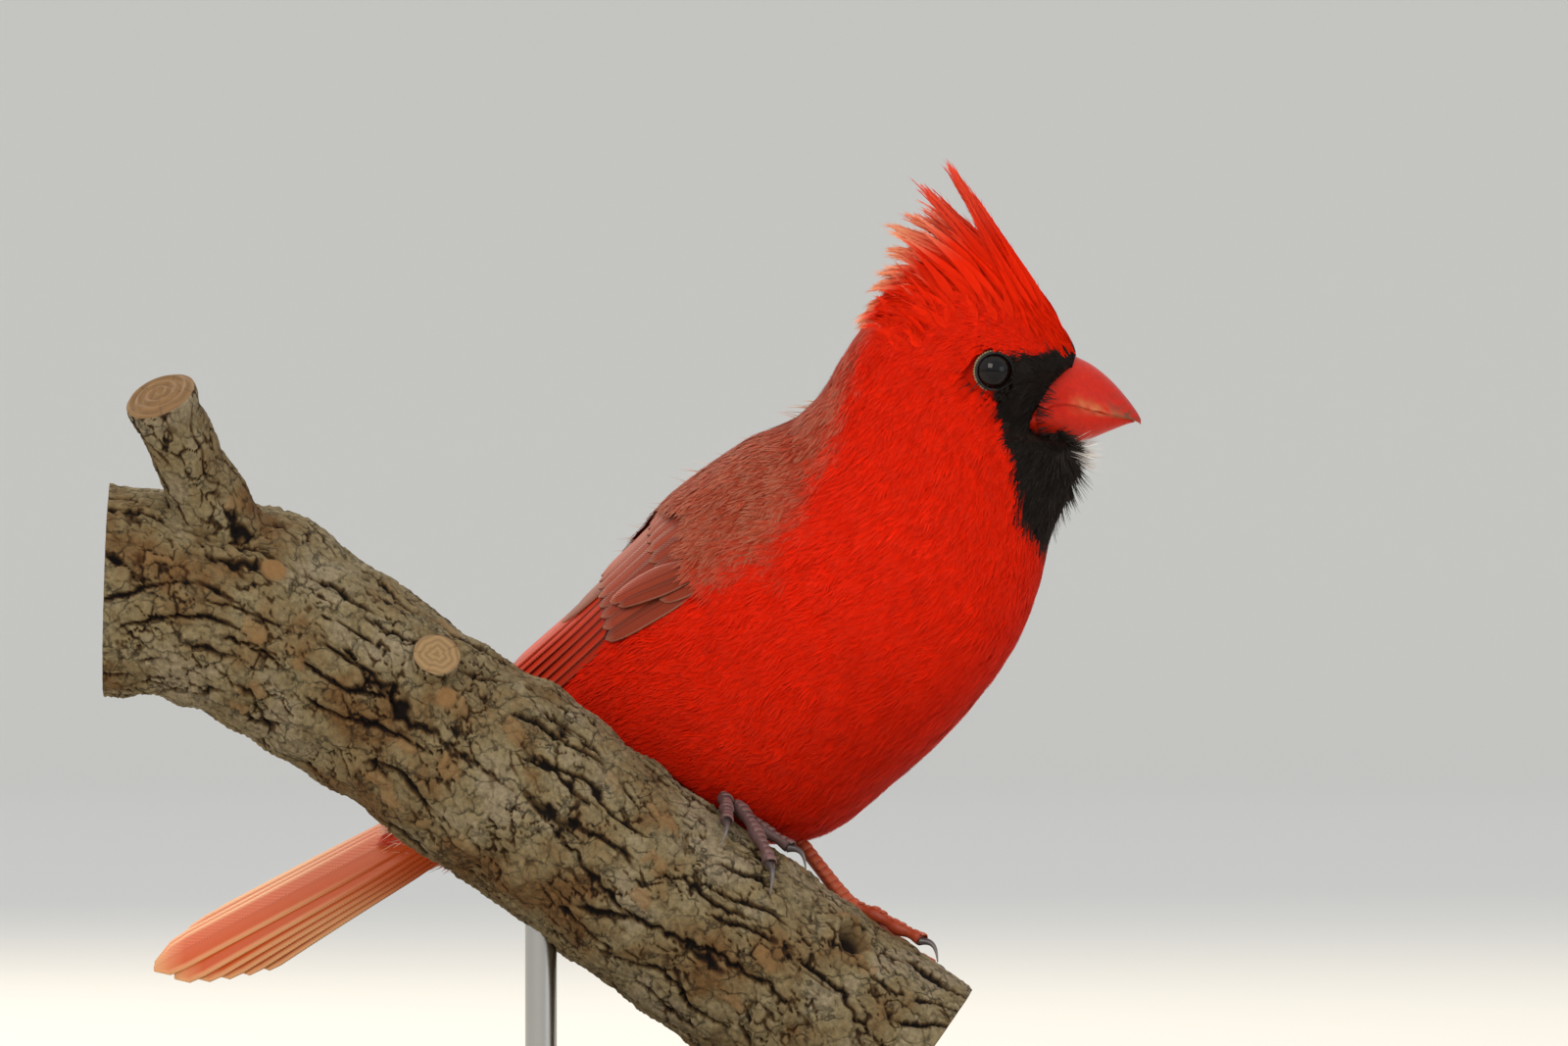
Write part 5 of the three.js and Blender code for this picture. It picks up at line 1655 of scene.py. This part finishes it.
# %% Shanks, toes and claws
CLAW_HORN, CLAW_PALE = linear("#4a403e"), linear("#8d827c")
for leg_name, leg in LEGS.items():
    f = np.linspace(0, 1, 24)
    start, end = np.array(leg["ankle"]), foot_joint(leg)
    shank = start + (end - start) * f[:, None]
    colours = (leg["skin"], leg["scale"])
    front = np.array([0.5, -1.0, 0.3])
    name = f"tarsus_{leg_name}"
    scaled_limb(name, shank, TARSUS_RADIUS * 1.06 + 0.5 * f**6, front, colours, 15, name)
    for i, (to, claw_end) in enumerate(leg["toes"]):
        path = toe_path(leg, to, f)
        axis_x, axis_z, _ = perch_axis(mix(leg["foot"][0], to[0], 0.5))
        away = unit_length(path[12] - np.array([axis_x, PERCH_Y, axis_z]))
        name = f"toe_{leg_name}_{i + 1}"
        length = np.linalg.norm(np.diff(path, axis=0), axis=1).sum()
        scaled_limb(name, path, toe_radius(f) * 1.12, away, colours, max(5, round(length / 1.5)), name)
        g = np.linspace(0, 1, 20)
        lift = mix(TOE_RADIUS + BARK_GAP, 0.55, g**1.4) + 1.3 * np.sin(math.pi * g)
        hook = perch_point(mix(to[0], claw_end[0], g), mix(to[1], claw_end[1], g), lift)
        rings = tube(hook, mix(CLAW_RADIUS * 1.1, 0.12, g**0.8), upright=away, sides=12, flat=0.75)
        points, polygons = closed_tube(rings)
        tone = np.append(np.repeat(g, 12), [0, 1])
        paint = np.broadcast_to(CLAW_HORN, (len(tone), 3))
        paint = blend_colours(paint, CLAW_PALE, 0.6 * smooth(0.2, 0.9, tone))
        claw = make_piece(f"claw_{leg_name}_{i + 1}_horn", points, polygons, claw_horn, paint)
        belongs(claw, "claw", f"claw_{leg_name}_{i + 1}")

# %% [markdown]
# ## Bark
#
# Old bark splits as the wood inside it thickens: first into long furrows along the branch, and then
# across into small plates. Both are borders between cells, so the bark's height comes from two sheets
# of cells wrapped round the branch, long ones for the furrows and short ones for the plates.

# %% Cells wrapped round a tube
FURROW_DEEP, CRACK_DEEP = 1.2, 0.55
PLATE = {"long": 5.2, "wide": 3.1}
CELL_COLUMNS = 64  # cells repeat after this many along the branch, which is longer than the branch


def wrapped_noise(along_mm, turn, girth, size, seed):
    """A smooth random value of about -1 to 1, changing over about size mm, that joins up round a tube."""
    rng = np.random.default_rng(seed)
    total = np.zeros(np.shape(along_mm))
    for _ in range(6):
        heading = rng.random() * 2 * math.pi
        pace = mix(0.6, 1.3, rng.random()) * 2 * math.pi / size
        rounds = round(pace * math.cos(heading) * girth / (2 * math.pi))
        total = total + np.sin(pace * math.sin(heading) * along_mm + rounds * turn + rng.random() * 7)
    return total / 2.4


def cell_borders(along_mm, turn, girth, long, wide, seed):
    """How far each place is from the border of its cell, in cell widths, and a number for the cell."""
    around = max(round(girth / wide), 5)
    u, v = along_mm / long, np.mod(turn / (2 * math.pi), 1) * around
    column, row = np.floor(u).astype(int), np.floor(v).astype(int)
    table = np.random.default_rng(seed).random((CELL_COLUMNS, around, 3))
    nearest = np.full(u.shape, 9.0)
    second = np.full(u.shape, 9.0)
    kind = np.zeros(u.shape)
    for i in (-1, 0, 1):
        for j in (-1, 0, 1):
            jitter = table[(column + i) % CELL_COLUMNS, (row + j) % around]
            far_u = column + i + mix(0.1, 0.9, jitter[..., 0]) - u
            far_v = row + j + mix(0.1, 0.9, jitter[..., 1]) - v
            far = np.hypot(far_u, far_v)
            closer = far < nearest
            second = np.where(closer, nearest, np.minimum(second, far))
            kind = np.where(closer, jitter[..., 2], kind)
            nearest = np.minimum(nearest, far)
    return second - nearest, kind


def bark_relief(along_mm, turn, girth, seed):
    """How high the bark stands in mm, a height from 0 to 1 for its colour, and how bare each plate is."""
    def noise(size, k):
        return wrapped_noise(along_mm, turn, girth, size, seed * 10 + k)

    furrow = np.zeros(np.shape(along_mm))
    for k, (apart, lean) in enumerate(((7.0, 0.05), (9.5, -0.07))):
        around = max(round(girth / apart), 3)
        drift = (3.2 * noise(42, 3 * k) + 0.8 * noise(13, 3 * k + 1) + 0.35 * noise(4, 3 * k + 2)) / girth
        line = np.mod(turn / (2 * math.pi) * around + drift * around + lean * along_mm / apart, 1)
        apart_mm = np.abs(line - 0.5) * girth / around
        strength = smooth(-0.5, 0.7, noise(26, 20 + k))
        furrow = np.maximum(furrow, strength * np.exp(-((apart_mm / mix(0.28, 0.52, strength)) ** 2)))
    shift = 0.9 * noise(5, 8) + 0.35 * noise(2, 9)
    shifted_turn = turn + shift * 4 / girth
    crack, kind = cell_borders(along_mm + shift, shifted_turn, girth, PLATE["long"], PLATE["wide"], seed)
    open_crack = smooth(0.02, 0.2, crack)
    cracked = (1 - open_crack) * mix(0.45, 1, smooth(-0.4, 0.6, noise(14, 10)))
    relief = -FURROW_DEEP * furrow - CRACK_DEEP * cracked
    relief = relief + 0.55 * (kind - 0.5) * open_crack + 0.35 * noise(12, 11) + 0.1 * noise(1.6, 12)
    # The colour's height is low in furrows and cracks, where the bark is painted dark as shade.
    height = np.clip(1 - 0.95 * furrow - 0.72 * cracked - 0.22 * (1 - kind), 0, 1)
    bare = smooth(0.955, 0.965, kind) * open_crack * 0.55 * (1 - furrow)
    return relief, height, bare


def bark_piece(name, points, rows, sides, height, bare, tint, cap_rows):
    """A closed piece of bark whose first and last cap_rows rows are cut wood."""
    rings = points.reshape(rows, sides, 3)
    all_points, polygons = closed_tube(rings)
    paint = np.vstack([tint.reshape(-1, 3), tint.reshape(-1, 3)[:1], tint.reshape(-1, 3)[-1:]])
    piece = make_piece(name, all_points, polygons, bark, paint)
    for label, values in (("height", height), ("bare", bare)):
        flat = np.append(values.ravel(), values.ravel()[[0, -1]])
        piece.data.attributes.new(label, "FLOAT", "POINT").data.foreach_set("value", flat.astype(np.float32))
    piece.data.materials.append(sawn_wood)
    caps = [np.full(sides, 0), np.full(sides, rows - 2)]
    row_of = np.concatenate([np.arange((rows - 1) * sides) // sides, *caps])
    low_caps, high_caps = cap_rows
    cut = (row_of < low_caps) | (row_of >= rows - 1 - high_caps)
    piece.data.polygons.foreach_set("material_index", cut.astype(np.int32))
    return piece


GROWTH_RING = 1.3


def ring_colour(reach, turn, dark, light):
    """Growth rings on a cut end. reach is the distance from its middle in mm."""
    wavy = reach + 0.25 * np.sin(3 * turn) + 0.15 * np.sin(7 * turn + 1)
    ring = 0.5 + 0.5 * np.sin(wavy * 2 * math.pi / GROWTH_RING)
    check = np.exp(-((np.sin(turn * 2.5 + 0.4) / 0.06) ** 2)) * smooth(1, 4, reach)
    wood = np.broadcast_to(light, (*reach.shape, 3))
    return blend_colours(wood, dark, np.clip(0.55 * ring + 0.6 * check, 0, 1))


# %% Knots: places where twigs once grew, from their x and z in the side view
WOOD_LIGHT, WOOD_DARK, WOOD_TAN = linear("#a08054"), linear("#6e5232"), linear("#8e6b43")
HOLLOW_SHADE = linear("#241a14")
KNOTS = [(-35.7, 108.9, 3.0, "scar"), (40.7, 63.9, 4.2, "hollow"), (-68.0, 133.0, 3.4, "scar"),
         (60.0, 44.0, 3.0, "scar")]


def branch_spot(x, z):
    """The w and turn of a point of the branch's near side."""
    w = 0.0
    for _ in range(4):
        here_x, here_z, slope = perch_axis(w)
        w += (x - here_x) * math.cos(slope) - (z - here_z) * math.sin(slope)
    here_x, here_z, slope = perch_axis(w)
    up = (x - here_x) * math.sin(slope) + (z - here_z) * math.cos(slope)
    return float(w), math.acos(np.clip(up / PERCH_RADIUS, -1, 1))


# %% Branch
BARK_ROWS, BARK_SIDES, CAP_ROWS = 372, 240, 12
cap = np.sin(np.linspace(0.05, 1, CAP_ROWS) * math.pi / 2)
reach_in = np.concatenate([cap * 0.985, np.ones(BARK_ROWS), cap[::-1] * 0.985])
w_rows = np.concatenate([np.full(CAP_ROWS, PERCH_START), np.linspace(PERCH_START, PERCH_END, BARK_ROWS),
                         np.full(CAP_ROWS, PERCH_END)])
w, turn = np.meshgrid(w_rows, full_turn(BARK_SIDES), indexing="ij")
girth = 2 * math.pi * PERCH_RADIUS
relief, height, bare = bark_relief(w + 100, turn, girth, 31)
tint = np.broadcast_to(WOOD_TAN, (*w.shape, 3)).copy()
for knot_x, knot_z, size, kind in KNOTS:
    knot_w, knot_turn = branch_spot(knot_x, knot_z)
    far = np.hypot(w - knot_w, (turn - knot_turn) * PERCH_RADIUS)
    lip = np.exp(-(((far - size) / (0.36 * size)) ** 2))
    inside = smooth(size * 0.8, size * 0.5, far)
    relief = relief * (1 - inside) + 0.9 * lip
    if kind == "hollow":
        relief = relief - 3.4 * inside
        # The hollow is painted near black inside: painted shade in the recess.
        tint = tint + (HOLLOW_SHADE - tint) * inside[..., None]
        height = np.maximum(height, 0.6 * inside)
    else:
        relief = relief + 0.8 * inside + 0.25 * np.sin(far * 5) * inside
        height = np.maximum(height, inside)
    bare = np.maximum(bare, inside)
for foot_w, foot_turn in [leg["foot"] for leg in LEGS.values()]:
    under = np.exp(-(((w - foot_w) / 16) ** 2) - ((turn - np.mod(foot_turn, 2 * math.pi)) / 1.6) ** 2)
    relief = np.minimum(relief, mix(9.0, 0.15, under))
row = np.arange(len(w_rows))
in_cap = (row < CAP_ROWS) | (row >= len(w_rows) - CAP_ROWS)
radius = (perch_radius(w, turn) + relief) * reach_in[:, None]
points = perch_point(w, turn, radius - perch_radius(w, turn))
cut_colour = ring_colour(radius, turn, WOOD_DARK, WOOD_LIGHT)
tint = np.where(in_cap[:, None, None], cut_colour, tint)
branch = bark_piece("branch_bark", points, len(w_rows), BARK_SIDES, height, bare, tint, (CAP_ROWS, CAP_ROWS))
belongs(branch, "bark", "perch")


# %% Side branch and sawn twig, which grow out of the bark
STUB_CAP_ROWS = 30


def stub(name, start, way, length, radii, seed, rows, sides, whorl, flare):
    """A short side stem with a cut or healed end. whorl is how strongly its end is ridged."""
    upright = np.array([0.0, 1.0, 0.0])
    side = unit_length(np.cross(way, upright))
    up = np.cross(side, way)
    f_rows = np.concatenate([np.linspace(0, 1, rows), np.ones(STUB_CAP_ROWS)])
    share = np.concatenate([np.ones(rows), np.cos(np.linspace(0.1, 1.5, STUB_CAP_ROWS))])
    f, turn = np.meshgrid(f_rows, full_turn(sides), indexing="ij")
    share = share[:, None] + 0 * turn
    base = np.interp(f, *radii) + flare * np.exp(-((f / 0.28) ** 2)) * (0.7 + 0.3 * np.sin(2 * turn))
    relief, height, bare = bark_relief(f * length + 40, turn, 2 * math.pi * radii[1][-1], seed)
    relief = relief * 0.6 * smooth(1.02, 0.9, f) + 0.5 * np.exp(-(((f - 0.97) / 0.05) ** 2))
    radius = (base + relief) * share
    bulge = whorl * (0.9 * np.sqrt(np.clip(1 - share**2, 0, 1)) + 0.35 * np.sin(radius * 3.2 + turn))
    at_end = (f > 0.999) * smooth(1.0, 0.9, share)
    middle = start + way * (f * length + bulge * at_end)[..., None]
    points = middle + side * (radius * np.cos(turn))[..., None] + up * (radius * np.sin(turn))[..., None]
    rings = ring_colour(radius, turn, WOOD_DARK, WOOD_LIGHT if whorl < 0.5 else WOOD_TAN)
    piece = bark_piece(name, points, len(f_rows), sides, height, bare, rings, (0, STUB_CAP_ROWS - 1))
    return belongs(piece, "bark")


lean, forward = math.radians(24), math.radians(30)
flat = math.cos(forward)
side_way = np.array([-math.sin(lean) * flat, -math.sin(forward), math.cos(lean) * flat])
side_radii = ([0, 0.62, 1], [9.2, 6.5, 6.5])
stub("side_branch", perch_point(-50, 0.1, -14), side_way, 43.2, side_radii, 5, 110, 120, 0.9, 2.2)
twig_start = perch_point(-12, 0.98, -6)
twig = perch_point(-13.5, 0.98, 2.2) - twig_start
twig_radii = ([0, 1], [5.2, 4.1])
stub("sawn_twig", twig_start, unit_length(twig), np.linalg.norm(twig), twig_radii, 9, 40, 72, 0.2, 0.0)

# %% [markdown]
# ## Stand
#
# The model needs holding up, so two round steel rods rise from a flat walnut board into the underside
# of the branch. Thin collars hide where they enter the board.

# %% Board
BASE = {"length": 184, "depth": 108, "height": 9, "corner": 12, "bevel": 1.2}
corner_turn = np.linspace(0, math.pi / 2, 13)
corners = [(1, 1, 0), (-1, 1, 1), (-1, -1, 2), (1, -1, 3)]


def board_ring(inset, z):
    """The board's rounded outline, moved inwards and lifted to z."""
    half_x, half_y = BASE["length"] / 2 - BASE["corner"], BASE["depth"] / 2 - BASE["corner"]
    reach = BASE["corner"] - inset
    ring = []
    for sign_x, sign_y, quarter in corners:
        for a in corner_turn + quarter * math.pi / 2:
            ring.append([sign_x * half_x + reach * math.cos(a), sign_y * half_y + reach * math.sin(a), z])
    return ring


bevel_turn = np.linspace(0, math.pi / 2, 6)
profile = [(BASE["corner"] - 0.5, 0.0), (1.6, 0.0), (BASE["bevel"], 0.0)]
profile += [(BASE["bevel"] * (1 - math.sin(a)), BASE["bevel"] * (1 - math.cos(a))) for a in bevel_turn[1:]]
upper = BASE["height"] - BASE["bevel"]
profile += [(0.0, BASE["bevel"] + 0.3), (0.0, upper - 0.3)]
profile += [(BASE["bevel"] * (1 - math.cos(a)), upper + BASE["bevel"] * math.sin(a)) for a in bevel_turn]
profile += [(1.6, BASE["height"]), (BASE["corner"] - 0.5, BASE["height"])]
board_points, board_faces = closed_tube(np.array([board_ring(inset, z) for inset, z in profile]))
belongs(make_piece("walnut_board", board_points, board_faces, board), "base_wood", "stand_base")

# %% Rods and collars
ROD = {"radius": 3.0, "sink": 7.0, "foot": 4.0}


def turned(name, x, profile, material, slot, *nodes):
    """A round part from rows of radius and z, with doubled rows at its sharp edges."""
    rings = [[[x + r * math.cos(a), PERCH_Y + r * math.sin(a), z] for a in full_turn(48)] for r, z in profile]
    points, polygons = closed_tube(np.array(rings))
    return belongs(make_piece(name, points, polygons, material), slot, *nodes)


slope = math.radians(PERCH_SLOPE)
for rod_name, x in (("high", -18.0), ("low", 29.0)):
    axis_z = PERCH_ZERO[1] - (x - PERCH_ZERO[0]) * math.tan(slope)
    top = axis_z - PERCH_RADIUS / math.cos(slope) + ROD["sink"]
    low, r = BASE["height"] - ROD["foot"], ROD["radius"]
    shaft = [(r - 0.4, low), (r - 0.02, low + 0.05), (r, low + 0.4), (r, top - 0.4), (r - 0.02, top - 0.05)]
    turned(f"rod_{rod_name}", x, shaft + [(r - 0.4, top)], rod_steel, "rod_steel", f"stand_rod_{rod_name}")
    z = BASE["height"]
    collar = [(r + 0.05, z), (r + 2.4, z), (r + 2.6, z + 0.05), (r + 2.6, z + 0.9), (r + 2.4, z + 1.2)]
    collar += [(r + 0.6, z + 1.5), (r + 0.05, z + 1.5)]
    turned(f"collar_{rod_name}", x, collar, rod_steel, "rod_steel")

# %% [markdown]
# ## Studio
#
# A pale floor that curves up far behind the model, a broad soft light from the front left, a smaller
# one from behind for the edges of the feathers, and a camera on the photo's line of sight with a long
# lens, at the height of the middle of the picture.

# %% Floor
FLAT_REACH, CURVE, BOWL_SIDES = 7.5, 1.6, 72
bowl = [(0.02, 0.0), (2.0, 0.0), (FLAT_REACH, 0.0)]
for a in np.linspace(0.1, math.pi / 2, 14):
    bowl.append((FLAT_REACH + CURVE * math.sin(a), CURVE - CURVE * math.cos(a)))
bowl_turn = full_turn(BOWL_SIDES)
bowl_points = np.array([[r * math.cos(a), r * math.sin(a), z] for r, z in bowl for a in bowl_turn]) / MM
bowl_points = np.vstack([bowl_points, [0, 0, 0]])
middle = fan_faces(np.arange(BOWL_SIDES), len(bowl_points) - 1, flip=True)
bowl_faces = [grid_faces(len(bowl), BOWL_SIDES, closed=True), middle]
floor = make_piece("studio_floor", bowl_points, bowl_faces, floor_paint)
floor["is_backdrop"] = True

# %% World, lights and camera
world = bpy.data.worlds.new("soft studio")
bpy.context.scene.world = world
world.use_nodes = True
background = world.node_tree.nodes["Background"]
background.inputs["Color"].default_value = (*linear("#e9edf2"), 1)
background.inputs["Strength"].default_value = 0.95
TARGET = np.array([27.8, 0.0, 141.9]) * MM


def area_light(name, position, size, power, colour):
    """A square light that faces the bird."""
    light = bpy.data.lights.new(name, "AREA")
    light.size = size
    light.energy = power
    light.color = tuple(linear(colour))
    lamp = bpy.data.objects.new(name, light)
    bpy.context.scene.collection.objects.link(lamp)
    lamp.location = position
    x, y, z = np.array(position) - TARGET
    lamp.rotation_euler = (math.atan2(math.hypot(x, y), z), 0, math.atan2(y, x) + math.pi / 2)


area_light("key", (-1.3, -2.6, 2.2), 1.5, 42, "#fff6ea")
area_light("fill", (2.6, -2.2, 1.0), 1.6, 10, "#f4f4ff")
area_light("edge", (-1.2, 2.2, 1.7), 0.9, 45, "#fff0d8")
DISTANCE, FRAME_WIDTH = 4.0, 0.2963
lens = bpy.data.cameras.new("camera")
lens.sensor_fit = "HORIZONTAL"
lens.sensor_width = 36
lens.lens = 36 * DISTANCE / FRAME_WIDTH
lens.clip_start, lens.clip_end = 0.1, 100
camera = bpy.data.objects.new("camera", lens)
bpy.context.scene.collection.objects.link(camera)
camera.location = (TARGET[0], -DISTANCE, TARGET[2])
camera.rotation_euler = (math.pi / 2, 0, 0)
bpy.context.scene.camera = camera
bpy.context.scene.view_settings.view_transform = "Standard"

# %% Sizes beside the solid's, and the end
low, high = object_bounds()
{"cad": [list(cad_low), list(cad_high)], "visual": [list(low), list(high)]}
print("finished box in mm:", [round(v / MM, 1) for v in high - low])
